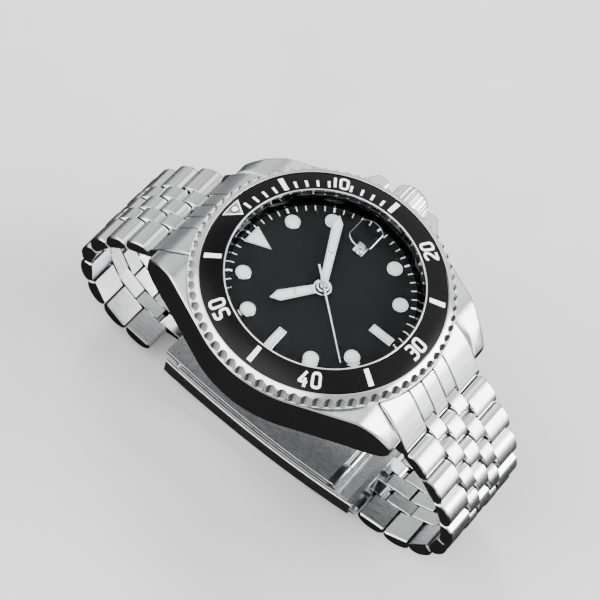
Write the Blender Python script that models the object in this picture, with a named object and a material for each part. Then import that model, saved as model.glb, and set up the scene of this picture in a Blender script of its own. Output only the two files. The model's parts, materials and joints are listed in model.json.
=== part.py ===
"""Automatic dive watch on a five-column steel bracelet, as an assembly of separate named pieces.

Frame: the origin is the centre of the case back's outer face, +Z points to the crystal, +Y to
12 o'clock and +X to the crown. Lengths are written in millimetres, and solid() turns them into metres.
"""
import bpy
import bmesh
from math import atan2, cos, hypot, pi, radians, sin, sqrt
from mathutils import Vector
from mathutils.geometry import tessellate_polygon

MM = 0.001
WELD = 1e-7
GAP = 0.1

# Case
CASE_R = 21.6
CASE_BOTTOM = 1.1
CASE_TOP = 9.35
NECK_R = 17.2
NECK_TOP = 11.6
LUG_ANGLE = radians(23)
LUG_WIDTH = 20.0
LUG_TIP_Y = 24.9
WALL_R = 21.5
BORE_R = 15.8
DIAL_SEAT_Z = 8.0
DIAL_BORE_R = 16.3
CRYSTAL_SEAT_Z = 10.3
CRYSTAL_BORE_R = 16.5
BACK_BORE_R = 17.15
BACK_BORE_Z = 2.6
GASKET_BORE_R = 17.9
GASKET_BORE_Z = 1.9
CASE_STEPS = 44

# Crown and its tube, on an axis along X
CROWN_Z = 5.6
CROWN_R = 3.2
CROWN_IN = 21.9
CROWN_OUT = 26.2
CROWN_FLUTES = 20
CROWN_SLOT = 3.75
GUARD_X = 23.4
STEM_R = 0.5
STEM_GROOVE_X = 10.5

# Bezel
BEZEL_R = 21.75
BEZEL_BOTTOM = 9.7
BEZEL_BORE_R = 17.35
BEZEL_SCALLOPS = 72
INSERT_OUT = (19.96, 11.5)
INSERT_IN = (16.4, 12.56)
INSERT_THICK = 0.6
PEARL_AT = 18.5

# Crystal, dial and hands
CRYSTAL_R = 16.05
CRYSTAL_TOP = 12.95
DIAL_R = 16.1
DIAL_BOTTOM = 8.1
DIAL_TOP = 8.5
MARKER_TOP = 8.8
DOT_R = 12.74
BAR_R = 12.09
DATE_R = 10.4
LENS_R = 2.75
LENS_HALF_WIDTH = 2.15
HOUR_ANGLE = 305.3
MINUTE_ANGLE = 63.7
SECONDS_ANGLE = 221.0

# Movement
MOVEMENT_R = 13.6
PLATE_BOTTOM = 5.0
PLATE_TOP = 7.3
BRIDGE_BOTTOM = 2.3
BRIDGE_TOP = 3.2
BARREL_AT = (-4.53, 4.53)
THIRD_AT = (3.68, -2.12)
ESCAPE_AT = (-0.71, -4.04)
BALANCE_AT = (-4.4, -7.6)
PALLET_AT = (-2.69, -5.95)
MINUTE_WHEEL_AT = (0.0, -3.0)

# Bracelet: every row turns on a pin, and the headings are degrees below the horizontal
END_HINGE = (25.4, 1.3)
PITCH = 5.57
HEADINGS = (31, 45, 59, 76, 98, 124, 150, 171)
ROW_WIDTH = 19.6
ROW_TAPER = 0.3
KNUCKLE_R = 1.25
PIN_R = 0.4
PIN_BORE_R = 0.52
COLUMN_SPLITS = (0.0775, 0.2213)
COLUMN_GAP = 0.14
LUG_PROFILE = ((18.6, 9.35), (19.5, 9.1), (21.0, 8.2), (22.5, 7.0), (23.8, 5.4), (24.9, 4.0))
SPRING_BAR_AT = (23.0, 3.2)
SPRING_BAR_R = 0.75

# Clasp, closed under the wrist
CLASP_CURVE_R = 110.0
CLASP_LOW = -33.4
COVER_END = 21.3
COVER_WALL_END = 19.0
COVER_PLATE_END = 16.6
LATCH_END = 12.5
COVER_WIDTH = 18.0
PLATE_THICK = 0.8
WALL_TOP = 3.4
BLADE_WIDTH = 14.6
OUTER_BLADE_HINGE_Y = 17.2
INNER_BLADE_HINGE_Y = -16.5
INNER_BLADE_END = 20.2

STEEL = ((0.62, 0.63, 0.65), 0.28, 1.0)
POLISHED = ((0.72, 0.73, 0.75), 0.1, 1.0)
BRASS = ((0.72, 0.55, 0.25), 0.3, 1.0)
BLUED = ((0.08, 0.12, 0.35), 0.25, 1.0)
RUBBER = ((0.03, 0.03, 0.03), 0.8, 0.0)
BLACK_GLOSS = ((0.012, 0.012, 0.015), 0.12, 0.0)
LUME = ((0.86, 0.88, 0.84), 0.5, 0.0)
GLASS = ((0.9, 0.95, 0.97), 0.02, 0.0)


# ---------------------------------------------------------------- helpers
def clear_scene():
    for obj in list(bpy.data.objects):
        bpy.data.objects.remove(obj, do_unlink=True)


def material(name, finish):
    colour, roughness, metallic = finish
    mat = bpy.data.materials.new(name)
    mat.use_nodes = True
    shader = mat.node_tree.nodes["Principled BSDF"]
    shader.inputs["Base Color"].default_value = (*colour, 1)
    shader.inputs["Roughness"].default_value = roughness
    shader.inputs["Metallic"].default_value = metallic
    if finish is GLASS:
        shader.inputs["Transmission Weight"].default_value = 1.0
    return mat


def solid(name, polygons, finish, origin=(0, 0, 0), sharp=35):
    """Weld loose polygons, given in millimetres around origin, into one closed object."""
    mesh = bpy.data.meshes.new(name)
    shape = bmesh.new()
    for polygon in polygons:
        shape.faces.new([shape.verts.new(Vector(point) * MM) for point in polygon])
    bmesh.ops.remove_doubles(shape, verts=shape.verts, dist=WELD)
    bmesh.ops.dissolve_degenerate(shape, edges=shape.edges, dist=WELD)
    bmesh.ops.recalc_face_normals(shape, faces=shape.faces)
    shape.to_mesh(mesh)
    shape.free()
    mesh.shade_smooth()
    mesh.set_sharp_from_angle(angle=radians(sharp))
    obj = bpy.data.objects.new(name, mesh)
    bpy.context.scene.collection.objects.link(obj)
    obj.location = Vector(origin) * MM
    if finish is not None:
        mesh.materials.append(material(name, finish))
    return obj


def guide(obj):
    obj.hide_render = True
    obj.display_type = "WIRE"
    return obj


def boolean(obj, cutter, operation="DIFFERENCE"):
    guide(cutter)
    modifier = obj.modifiers.new(cutter.name, "BOOLEAN")
    modifier.operation = operation
    modifier.object = cutter
    return obj


def circle(radius, count, centre=(0, 0), phase=0.5):
    turn = 2 * pi / count
    return [(centre[0] + radius * cos((i + phase) * turn), centre[1] + radius * sin((i + phase) * turn))
            for i in range(count)]


def box(x0, x1, y0, y1):
    return [(x0, y0), (x1, y0), (x1, y1), (x0, y1)]


def toothed(radius, teeth, depth):
    """Outline of a wheel with plain triangular teeth."""
    turn = pi / teeth
    return [((radius - depth * (i % 2)) * cos(i * turn), (radius - depth * (i % 2)) * sin(i * turn))
            for i in range(2 * teeth)]


def along_z(points, height):
    return [(u, v, height) for u, v in points]


def along_x(points, distance):
    """Place a (y, z) outline at a distance along X."""
    return [(distance, u, v) for u, v in points]


def sides(outline, low, high, place=along_z):
    bottom, top = place(outline, low), place(outline, high)
    count = len(outline)
    return [(bottom[i], bottom[(i + 1) % count], top[(i + 1) % count], top[i]) for i in range(count)]


def cap(outline, height, holes=(), place=along_z):
    """A flat face with holes, cut into triangles."""
    rings = [[Vector((u, v, 0)) for u, v in ring] for ring in (outline, *holes)]
    points = [point for ring in (outline, *holes) for point in ring]
    placed = place(points, height)
    return [tuple(placed[i] for i in triangle) for triangle in tessellate_polygon(rings)]


def prism(outline, low, high, holes=(), place=along_z):
    walls = sides(outline, low, high, place)
    for hole in holes:
        walls += sides(hole, low, high, place)
    return walls + cap(outline, low, holes, place) + cap(outline, high, holes, place)


def tower(layers, bore=None, place=along_z):
    """Stacked outlines (outline, low, high), each inside or around the next, with an optional bore."""
    holes = [bore] if bore else []
    faces = cap(layers[0][0], layers[0][1], holes, place) + cap(layers[-1][0], layers[-1][2], holes, place)
    for outline, low, high in layers:
        faces += sides(outline, low, high, place)
    for (lower, _, level), (upper, _, _) in zip(layers, layers[1:]):
        wide, narrow = sorted((lower, upper), key=lambda ring: -max(hypot(u, v) for u, v in ring))
        faces += cap(wide, level, [narrow], place)
    if bore:
        faces += sides(bore, layers[0][1], layers[-1][2], place)
    return faces


def lathe(profile, count, ripple=None, place=lambda r, a, h: (r * cos(a), r * sin(a), h)):
    """Turn a closed (radius, height) profile. ripple(index, step) changes the radius of one point."""
    rings = []
    for step in range(count):
        angle = 2 * pi * step / count
        rings.append([place(r + (ripple(i, step) if ripple else 0), angle, h)
                      for i, (r, h) in enumerate(profile)])
    faces = []
    for step in range(count):
        here, there = rings[step], rings[(step + 1) % count]
        for i in range(len(profile)):
            j = (i + 1) % len(profile)
            on_axis = profile[i][0] == 0, profile[j][0] == 0
            if all(on_axis):
                continue
            if on_axis[0]:
                faces.append((here[i], here[j], there[j]))
            elif on_axis[1]:
                faces.append((here[i], here[j], there[i]))
            else:
                faces.append((here[i], here[j], there[j], there[i]))
    return faces


def about_x(r, a, h):
    return (h, r * cos(a), r * sin(a))


def rod_x(x0, x1, radius, count=8):
    return prism(circle(radius, count), x0, x1, place=along_x)


def moved(polygons, offset):
    dx, dy, dz = offset
    return [tuple((x + dx, y + dy, z + dz) for x, y, z in polygon) for polygon in polygons]


def rotated(outline, clockwise):
    """Turn an outline drawn towards 12 o'clock clockwise by an angle in degrees."""
    a = radians(-clockwise)
    return [(u * cos(a) - v * sin(a), u * sin(a) + v * cos(a)) for u, v in outline]


# ---------------------------------------------------------------- case
def case_outline():
    """Plan of the case: round flanks, straight lug sides, and crown guards on the +X side."""
    tangent = (CASE_R * cos(LUG_ANGLE), CASE_R * sin(LUG_ANGLE))
    tip_x = tangent[0] - (LUG_TIP_Y - tangent[1]) * sin(LUG_ANGLE) / cos(LUG_ANGLE)
    inner_x = LUG_WIDTH / 2
    wall_angle = atan2(sqrt(WALL_R ** 2 - inner_x ** 2), inner_x)
    lug = [(inner_x, LUG_TIP_Y), (tip_x - 0.4, LUG_TIP_Y), (tip_x, LUG_TIP_Y - 0.5), tangent]
    guard = [(19.95, 8.3), (GUARD_X - 0.3, 6.3), (GUARD_X, 5.9), (GUARD_X, 4.4),
             (GUARD_X - 0.3, CROWN_SLOT + 0.1), (21.2, CROWN_SLOT)]
    right = lug + guard
    flank = [(-CASE_R * cos(a), CASE_R * sin(a)) for a in (radians(d) for d in range(18, -19, -6))]
    wall_steps = 12
    wall = []
    for i in range(1, wall_steps):
        a = wall_angle + (pi - 2 * wall_angle) * i / wall_steps
        wall.append((WALL_R * cos(a), WALL_R * sin(a)))
    wall = [(inner_x, WALL_R * sin(wall_angle))] + wall + [(-inner_x, WALL_R * sin(wall_angle))]
    top_left = [(-x, y) for x, y in lug]
    bottom_left = [(x, -y) for x, y in reversed(top_left)]
    bottom_wall = [(x, -y) for x, y in reversed(wall)]
    bottom_right = [(x, -y) for x, y in right]
    return wall + top_left + flank + bottom_left + bottom_wall + bottom_right + right[::-1]


def case_side():
    """Side view of the case in (y, z): the lugs fall towards their tips."""
    half = [*LUG_PROFILE, (25.0, 3.2), (24.6, 2.0), (23.9, 1.2), (22.5, 0.9), (19.6, 0.9),
            (18.8, CASE_BOTTOM)]
    return half + [(-y, z) for y, z in reversed(half)]


def make_mid_case():
    case = solid("mid_case", prism(case_outline(), 0.0, 12.0), STEEL)
    side = solid("guide_case_side", prism(case_side(), -30, 30, place=along_x), None)
    boolean(case, side, "INTERSECT")
    neck = solid("guide_case_neck", prism(circle(NECK_R, CASE_STEPS), CASE_TOP - 1.0, NECK_TOP), None)
    boolean(case, neck, "UNION")
    steps = ((GASKET_BORE_R, -1.0, GASKET_BORE_Z), (BACK_BORE_R, GASKET_BORE_Z, BACK_BORE_Z),
             (BORE_R, BACK_BORE_Z, DIAL_SEAT_Z), (DIAL_BORE_R, DIAL_SEAT_Z, CRYSTAL_SEAT_Z),
             (CRYSTAL_BORE_R, CRYSTAL_SEAT_Z, NECK_TOP + 1))
    bore = [(circle(radius, CASE_STEPS), low, high) for radius, low, high in steps]
    boolean(case, solid("guide_case_bore", tower(bore), None))
    tube_hole = moved(rod_x(14.0, 25.0, 1.35, 12), (0, 0, CROWN_Z))
    boolean(case, solid("guide_tube_hole", tube_hole, None))
    for side_sign, label in ((1, "12"), (-1, "6")):
        holes = moved(rod_x(-11.6, 11.6, 0.55), (0, side_sign * SPRING_BAR_AT[0], SPRING_BAR_AT[1]))
        boolean(case, solid("guide_bar_holes_" + label, holes, None))
    return case


def make_case_back():
    profile = [(0, 0), (17.9, 0), (18.6, 0.6), (18.6, 1.0), (17.0, 1.0), (17.0, 2.4), (16.1, 2.4),
               (16.1, 1.0), (0, 1.0)]
    return solid("case_back", lathe(profile, 40), STEEL)


def ring(name, inner, outer, low, high, finish, count=36):
    return solid(name, prism(circle(outer, count), low, high, [circle(inner, count)]), finish)


def make_crystal():
    profile = [(0, CRYSTAL_SEAT_Z + GAP), (CRYSTAL_R, CRYSTAL_SEAT_Z + GAP), (CRYSTAL_R, CRYSTAL_TOP - 0.4),
               (CRYSTAL_R - 0.5, CRYSTAL_TOP), (0, CRYSTAL_TOP)]
    return solid("crystal", lathe(profile, 48), GLASS)


def make_date_magnifier():
    """Round lens on the crystal over the date, cut flat along its two long sides."""
    base = CRYSTAL_TOP + 0.02
    profile = [(0, base), (LENS_R, base), (LENS_R - 0.2, base + 0.3), (1.6, base + 0.55), (0, base + 0.65)]
    lens = [tuple((x, max(-LENS_HALF_WIDTH, min(LENS_HALF_WIDTH, y)), z) for x, y, z in face)
            for face in lathe(profile, 20)]
    return solid("date_magnifier", lens, GLASS, origin=(DATE_R, 0, 0))


def make_rehaut_ring():
    profile = [(15.45, DIAL_TOP + GAP), (16.2, DIAL_TOP + GAP), (16.2, 10.25), (15.98, 10.25)]
    return solid("rehaut_ring", lathe(profile, 40), BLACK_GLOSS)


def make_bezel_ring():
    profile = [(BEZEL_BORE_R, BEZEL_BOTTOM), (BEZEL_R, BEZEL_BOTTOM), (BEZEL_R, 10.4), (21.15, 11.15),
               (20.6, 11.45), (20.1, 11.62), (20.06, 10.85), (BEZEL_BORE_R, 11.6)]
    dip = {2: -0.45, 3: -0.3}
    scallops = lathe(profile, 2 * BEZEL_SCALLOPS, lambda i, step: dip.get(i, 0) * (step % 2))
    return solid("bezel_ring", scallops, POLISHED)


def make_bezel_insert():
    (outer_r, outer_z), (inner_r, inner_z) = INSERT_OUT, INSERT_IN
    profile = [(outer_r, outer_z), (inner_r, inner_z), (inner_r, inner_z - INSERT_THICK),
               (outer_r, outer_z - INSERT_THICK)]
    return solid("bezel_insert", lathe(profile, 60), BLACK_GLOSS)


def make_bezel_pearl():
    """Lume pearl, tilted to lie on the slope of the insert at 12 o'clock."""
    slope = (INSERT_IN[1] - INSERT_OUT[1]) / (INSERT_OUT[0] - INSERT_IN[0])
    height = INSERT_OUT[1] + slope * (INSERT_OUT[0] - PEARL_AT)
    profile = [(0, 0.05), (0.75, 0.05), (0.7, 0.2), (0.4, 0.4), (0, 0.45)]
    pearl = solid("bezel_pearl", lathe(profile, 12), LUME, origin=(0, PEARL_AT, height))
    pearl.rotation_euler = (-atan2(slope, 1), 0, 0)
    return pearl


def make_bezel_click_spring():
    outline = circle(19.4, 36)
    tongue = [(x * 1.03, y * 1.03) if i in (8, 9) else (x, y) for i, (x, y) in enumerate(outline)]
    faces = prism(tongue, CASE_TOP + 0.08, CASE_TOP + 0.25, [circle(17.7, 36)])
    return solid("bezel_click_spring", faces, STEEL)


# ---------------------------------------------------------------- crown
def make_crown():
    profile = [(1.5, CROWN_IN), (2.9, CROWN_IN), (CROWN_R, CROWN_IN + 0.35), (CROWN_R, CROWN_OUT - 0.5),
               (2.8, CROWN_OUT), (0, CROWN_OUT), (0, 25.1), (0.6, 25.1), (0.6, 23.7), (1.5, 23.7)]
    dip = {2: -0.25, 3: -0.25}
    flutes = lathe(profile, 2 * CROWN_FLUTES, lambda i, step: dip.get(i, 0) * (step % 2), about_x)
    return solid("crown", flutes, POLISHED, origin=(0, 0, CROWN_Z))


def make_winding_stem():
    thick, thin = circle(STEM_R, 8), circle(0.3, 8)
    layers = [(thick, 6.6, STEM_GROOVE_X - 0.4), (thin, STEM_GROOVE_X - 0.4, STEM_GROOVE_X + 0.4),
              (thick, STEM_GROOVE_X + 0.4, 24.9)]
    return solid("winding_stem", tower(layers, place=along_x), STEEL, origin=(0, 0, CROWN_Z))


def make_crown_tube():
    faces = prism(circle(1.25, 12), 16.5, 23.2, [circle(0.75, 12)], along_x)
    return solid("crown_tube", faces, STEEL, origin=(0, 0, CROWN_Z))


def make_setting_lever():
    """A forked plate whose slot straddles the groove of the stem."""
    outline = [(-1.5, -0.8), (-0.38, -0.8), (-0.38, 0.38), (0.38, 0.38), (0.38, -0.8), (1.5, -0.8),
               (1.5, 0.72), (-1.5, 0.72)]
    faces = prism(outline, -0.25, 0.25, place=along_x)
    return solid("setting_lever", faces, STEEL, origin=(STEM_GROOVE_X, 0, CROWN_Z))


# ---------------------------------------------------------------- dial, hands and date
def marker_outlines():
    """Applied hour markers: a triangle at 12, bars at 6 and 9, dots elsewhere, and the date window at 3."""
    outlines = []
    for hour in range(12):
        if hour == 3:
            continue
        if hour == 0:
            shape = [(-1.9, 14.6), (0, 10.3), (1.9, 14.6)]
        elif hour in (6, 9):
            shape = box(-0.75, 0.75, BAR_R - 2.1, BAR_R + 2.1)
        else:
            shape = circle(1.3, 10, (0, DOT_R))
        outlines.append(rotated(shape, 30 * hour))
    return outlines


def make_dial():
    window = box(DATE_R - 1.25, DATE_R + 1.25, -1.0, 1.0)
    hub = circle(1.15, 10)
    markers = marker_outlines()
    rim = circle(DIAL_R, 48)
    faces = sides(rim, DIAL_BOTTOM, DIAL_TOP) + cap(rim, DIAL_BOTTOM, [window, hub])
    faces += sides(window, DIAL_BOTTOM, DIAL_TOP) + sides(hub, DIAL_BOTTOM, DIAL_TOP)
    faces += cap(rim, DIAL_TOP, [window, hub, *markers])
    for marker in markers:
        faces += sides(marker, DIAL_TOP, MARKER_TOP) + cap(marker, MARKER_TOP)
    return solid("dial", faces, BLACK_GLOSS)


def hand(name, outline, hub_r, bore_r, low, high, clockwise, tube_low, finish=POLISHED):
    """A flat hand with a short hub tube below it, drawn towards 12 o'clock and turned to its time."""
    layers = [(circle(hub_r, 10), tube_low, low), (rotated(outline, clockwise), low, high)]
    return solid(name, tower(layers, circle(bore_r, 10)), finish)


def make_hands():
    hour = [(-0.75, -1.5), (0.75, -1.5), (1.5, 0), (0.95, 1.6), (0.95, 7.3), (0, 8.9), (-0.95, 7.3),
            (-0.95, 1.6), (-1.5, 0)]
    minute = [(-0.7, -1.2), (0.7, -1.2), (1.3, 0), (0.75, 1.5), (0.85, 12.0), (0, 13.6), (-0.85, 12.0),
              (-0.75, 1.5), (-1.3, 0)]
    seconds = [(-0.3, -4.2), (0.3, -4.2), (0.2, -1.1), (0.8, -0.5), (0.8, 0.5), (0.16, 1.0), (0.07, 14.0),
               (-0.07, 14.0), (-0.16, 1.0), (-0.8, 0.5), (-0.8, -0.5), (-0.2, -1.1)]
    hand("hour_hand", hour, 1.2, 1.0, 8.98, 9.16, HOUR_ANGLE, 8.86)
    hand("minute_hand", minute, 0.85, 0.65, 9.5, 9.66, MINUTE_ANGLE, 9.3)
    hand("seconds_hand", seconds, 0.45, 0.3, 10.0, 10.12, SECONDS_ANGLE, 9.85)


# ---------------------------------------------------------------- movement
def wheel(name, teeth, radius, disc, arbor_r, low, high, at, bore=None, finish=BRASS, pinion=None):
    """A toothed wheel on its arbor. pinion is (radius, low, high) of a thicker stretch of the arbor."""
    arbor = circle(arbor_r, 8)
    spans = [(toothed(radius, teeth, 0.25), *disc)]
    if pinion:
        spans.append((toothed(pinion[0], 8, 0.12), *pinion[1:]))
    layers = []
    level = low
    for outline, start, end in sorted(spans, key=lambda span: span[1]):
        layers += [(arbor, level, start), (outline, start, end)]
        level = end
    layers.append((arbor, level, high))
    return solid(name, tower(layers, bore), finish, origin=(*at, 0))


def make_train():
    wheel("barrel", 28, 5.55, (3.85, 4.45), 0.8, BRIDGE_TOP + 0.05, 4.95, BARREL_AT)
    tube = circle(0.36, 8)
    arbor = circle(0.6, 10)
    layers = [(toothed(0.74, 10, 0.1), 3.82, 4.46), (arbor, 4.46, 4.55), (toothed(3.72, 20, 0.2), 4.55, 4.8),
              (arbor, 4.8, 7.36), (toothed(0.73, 12, 0.1), 7.36, 7.52), (arbor, 7.52, 9.75)]
    solid("center_wheel", tower(layers, tube), BRASS)
    wheel("third_wheel", 20, 3.68, (3.55, 3.72), 0.28, BRIDGE_TOP + 0.05, 4.95, THIRD_AT,
          pinion=(0.46, 4.5, 4.85))
    fourth = [(circle(0.25, 8), 3.24, 3.28), (toothed(3.72, 22, 0.15), 3.28, 3.45),
              (toothed(0.48, 8, 0.1), 3.45, 3.75), (circle(0.25, 8), 3.75, 10.25)]
    solid("fourth_wheel", tower(fourth), BRASS)
    wheel("escape_wheel", 15, 2.1, (3.9, 4.08), 0.2, BRIDGE_TOP + 0.05, 4.95, ESCAPE_AT, finish=STEEL)
    wheel("minute_wheel", 18, 2.2, (7.36, 7.5), 0.3, PLATE_TOP + 0.02, 7.95, MINUTE_WHEEL_AT,
          pinion=(0.57, 7.62, 7.78))
    hour = [(toothed(2.36, 20, 0.15), 7.62, 7.76), (circle(0.95, 10), 7.76, 9.26)]
    solid("hour_wheel", tower(hour, circle(0.7, 10)), BRASS)


def make_pallet_fork():
    """Anchor with two pallets facing the escape wheel and a forked tail facing the balance."""
    to_balance = atan2(BALANCE_AT[1] - PALLET_AT[1], BALANCE_AT[0] - PALLET_AT[0])
    outline = [(1.9, -0.35), (1.9, -0.15), (1.5, 0), (1.9, 0.15), (1.9, 0.35), (0.5, 0.22), (0.3, 1.3),
               (-0.35, 1.45), (-0.3, 0.4), (-0.3, -0.4), (-0.35, -1.45), (0.3, -1.3), (0.5, -0.22)]
    turned = rotated(outline, -to_balance * 180 / pi)
    pivot = circle(0.15, 6)
    layers = [(pivot, BRIDGE_TOP + 0.05, 4.2), (turned, 4.2, 4.35), (pivot, 4.35, 4.42)]
    return solid("pallet_fork", tower(layers), STEEL, origin=(*PALLET_AT, 0))


def make_balance():
    rim = circle(4.0, 36)
    spoke = 0.3
    reach = sqrt(3.3 ** 2 - spoke ** 2)
    gaps = []
    for sign in (1, -1):
        first = atan2(spoke, reach)
        angles = [first + (pi - 2 * first) * i / 10 for i in range(11)]
        arc = [(3.3 * cos(a), sign * 3.3 * sin(a)) for a in angles]
        gaps.append(arc)
    faces = prism(rim, 4.5, 4.8, gaps)
    disc = solid("balance_wheel", faces, BRASS, origin=(*BALANCE_AT, 0))
    staff = solid("guide_balance_staff", prism(circle(0.25, 8), BRIDGE_TOP + 0.05, 4.95), None,
                  origin=(*BALANCE_AT, 0))
    return boolean(disc, staff, "UNION")


def make_balance_spring():
    """Flat hairspring: a spiral strip between its collet and its outer stud."""
    turns, steps, half = 3.5, 12, 0.05
    count = int(turns * steps)
    outer, inner = [], []
    for i in range(count + 1):
        angle = 2 * pi * i / steps
        radius = 0.5 + 0.42 * i / steps
        outer.append(((radius + half) * cos(angle), (radius + half) * sin(angle)))
        inner.append(((radius - half) * cos(angle), (radius - half) * sin(angle)))
    faces = prism(outer + inner[::-1], 3.6, 3.8)
    return solid("balance_spring", faces, BLUED, origin=(*BALANCE_AT, 0))


def make_movement_frame():
    pivots = [circle(0.4, 6, at) for at in (BARREL_AT, THIRD_AT, ESCAPE_AT, BALANCE_AT, PALLET_AT)]
    disc = prism(circle(MOVEMENT_R, 48), PLATE_BOTTOM, PLATE_TOP, [circle(0.85, 12), *pivots])
    plate = solid("main_plate", disc, STEEL)
    slot = prism(box(6.0, 15.0, -0.8, 0.8), 4.0, CROWN_Z + 0.85)
    boolean(plate, solid("guide_stem_slot", slot, None))
    lever_slot = prism(box(STEM_GROOVE_X - 0.6, STEM_GROOVE_X + 2.7, -1.8, 1.8), 4.0, CROWN_Z + 0.9)
    boolean(plate, solid("guide_lever_slot", lever_slot, None))

    def arc(start, end, count):
        angles = [radians(start + (end - start) * i / count) for i in range(count + 1)]
        return [(13.3 * cos(a), 13.3 * sin(a)) for a in angles]

    bridge_outline = arc(-70, 195, 26) + [(-8.6, -2.9), (-3.2, -3.0), (-2.6, -4.2), (0.6, -5.6)]
    pillars = [circle(0.9, 8, (12.0 * cos(radians(d)), 12.0 * sin(radians(d)))) for d in (-55, 40, 100, 185)]
    faces = sides(bridge_outline, BRIDGE_BOTTOM, BRIDGE_TOP) + cap(bridge_outline, BRIDGE_BOTTOM)
    faces += cap(bridge_outline, BRIDGE_TOP, pillars)
    for pillar in pillars:
        faces += sides(pillar, BRIDGE_TOP, PLATE_BOTTOM - 0.05) + cap(pillar, PLATE_BOTTOM - 0.05)
    solid("train_bridge", faces, STEEL)
    cock_outline = arc(202, 242, 5) + [(-3.2, -8.0), (-3.4, -6.9), (-4.6, -6.4), (-8.0, -5.4)]
    foot = circle(0.8, 8, (11.6 * cos(radians(215)), 11.6 * sin(radians(215))))
    faces = sides(cock_outline, BRIDGE_BOTTOM, BRIDGE_TOP) + cap(cock_outline, BRIDGE_BOTTOM)
    faces += cap(cock_outline, BRIDGE_TOP, [foot]) + sides(foot, BRIDGE_TOP, PLATE_BOTTOM - 0.05)
    faces += cap(foot, PLATE_BOTTOM - 0.05)
    solid("balance_cock", faces, STEEL)


def make_rotor():
    rim = [(12.9 * cos(radians(a)), 12.9 * sin(radians(a))) for a in range(180, 361, 12)]
    hub = [(1.8 * cos(radians(a)), 1.8 * sin(radians(a))) for a in range(0, 181, 30)]
    return solid("rotor", prism(rim + hub, 1.3, 2.1, [circle(0.8, 10)]), STEEL)


def make_movement_ring():
    spacer = ring("movement_ring", 13.8, 15.65, 2.5, 7.9, STEEL, 40)
    return boolean(spacer, solid("guide_ring_hole", moved(rod_x(12.0, 17.0, 0.85), (0, 0, CROWN_Z)), None))


# ---------------------------------------------------------------- bracelet
def link_outline():
    """Section of an outer or centre link in (s, n): s runs along the row from its pin, n points outward."""
    start = KNUCKLE_R + 0.2
    end = PITCH
    return [(start, -1.2), (start, 0.75), (start + 0.35, 1.2), (start + 1.3, 1.45), (end - 1.4, 1.42),
            (end + 0.6, 1.05), (end + 1.2, 0.3), (end + 1.15, -0.45), (end + 0.6, -1.2)]


def columns(width):
    """The five columns of a row as (low x, high x, is an outer or centre link)."""
    centre, outer = (width * split for split in COLUMN_SPLITS)
    half = COLUMN_GAP / 2
    return [(-width / 2, -outer - half, True), (-outer + half, -centre - half, False),
            (-centre + half, centre - half, True), (centre + half, outer - half, False),
            (outer + half, width / 2, True)]


def row_faces(width, has_bores=True):
    """One rigid row: three long links and two staggered ones on a hidden bar, with the row's own pin."""
    link = link_outline()
    mid_link = [(PITCH - s, n) for s, n in link]
    bar = box(PITCH / 2 - 0.6, PITCH / 2 + 0.6, -0.6, 0.6)
    pin = circle(PIN_R, 6, phase=0)
    bore = circle(PIN_BORE_R, 6, (PITCH, 0), phase=0)
    cols = columns(width)
    skin = 0.7
    faces = []
    for i, (low, high, is_outer) in enumerate(cols):
        section = link if is_outer else mid_link
        faces += sides(section, low, high, along_x)
        for x, is_end in ((low, i == 0), (high, i == len(cols) - 1)):
            holes = [] if is_end else [bar]
            if not is_outer:
                holes.append(pin)
            elif has_bores and not is_end:
                holes.append(bore)
            faces += cap(section, x, holes, along_x)
        if is_outer and has_bores:
            bore_low = low + skin if i == 0 else low
            bore_high = high - skin if i == len(cols) - 1 else high
            faces += sides(bore, bore_low, bore_high, along_x)
            if i == 0:
                faces += cap(bore, bore_low, place=along_x)
            if i == len(cols) - 1:
                faces += cap(bore, bore_high, place=along_x)
    for (_, low, _), (high, _, _) in zip(cols, cols[1:]):
        faces += sides(bar, low, high, along_x)
    pin_end = width / 2 - skin - 0.3
    faces += sides(pin, -pin_end, cols[1][0], along_x) + cap(pin, -pin_end, place=along_x)
    faces += sides(pin, cols[1][1], cols[3][0], along_x)
    faces += sides(pin, cols[3][1], pin_end, along_x) + cap(pin, pin_end, place=along_x)
    return faces


def hinge_points():
    """Pins of the rows in (distance from the XZ plane, height), ending at the clasp."""
    points = [END_HINGE]
    for heading in HEADINGS:
        y, z = points[-1]
        points.append((y + PITCH * cos(radians(heading)), z - PITCH * sin(radians(heading))))
    return points


def make_rows():
    for label, turn, sign in (("12", 0, 1), ("6", pi, -1)):
        for i, heading in enumerate(HEADINGS):
            y, z = hinge_points()[i]
            is_free_end = label == "6" and i == len(HEADINGS) - 1
            faces = row_faces(ROW_WIDTH - ROW_TAPER * i, not is_free_end)
            row = solid(f"link_row_{label}_{i + 1}", faces, STEEL, origin=(0, sign * y, z))
            row.rotation_euler = (-radians(heading), 0, turn)


def end_link_section():
    """Side view of an end link in (distance from the XZ plane, height)."""
    y, z = END_HINGE
    angles = [radians(a) for a in (50, 20, -10, -40, -65, -90)]
    knuckle = [(y + KNUCKLE_R * cos(a), z + KNUCKLE_R * sin(a)) for a in angles]
    return [(17.9, 9.2), (18.6, 9.28), *LUG_PROFILE[1:-1], (24.8, 4.15), (25.7, 2.8), *knuckle, (22.6, 0.5),
            (19.6, 1.4), (17.9, 2.2)]


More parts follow.
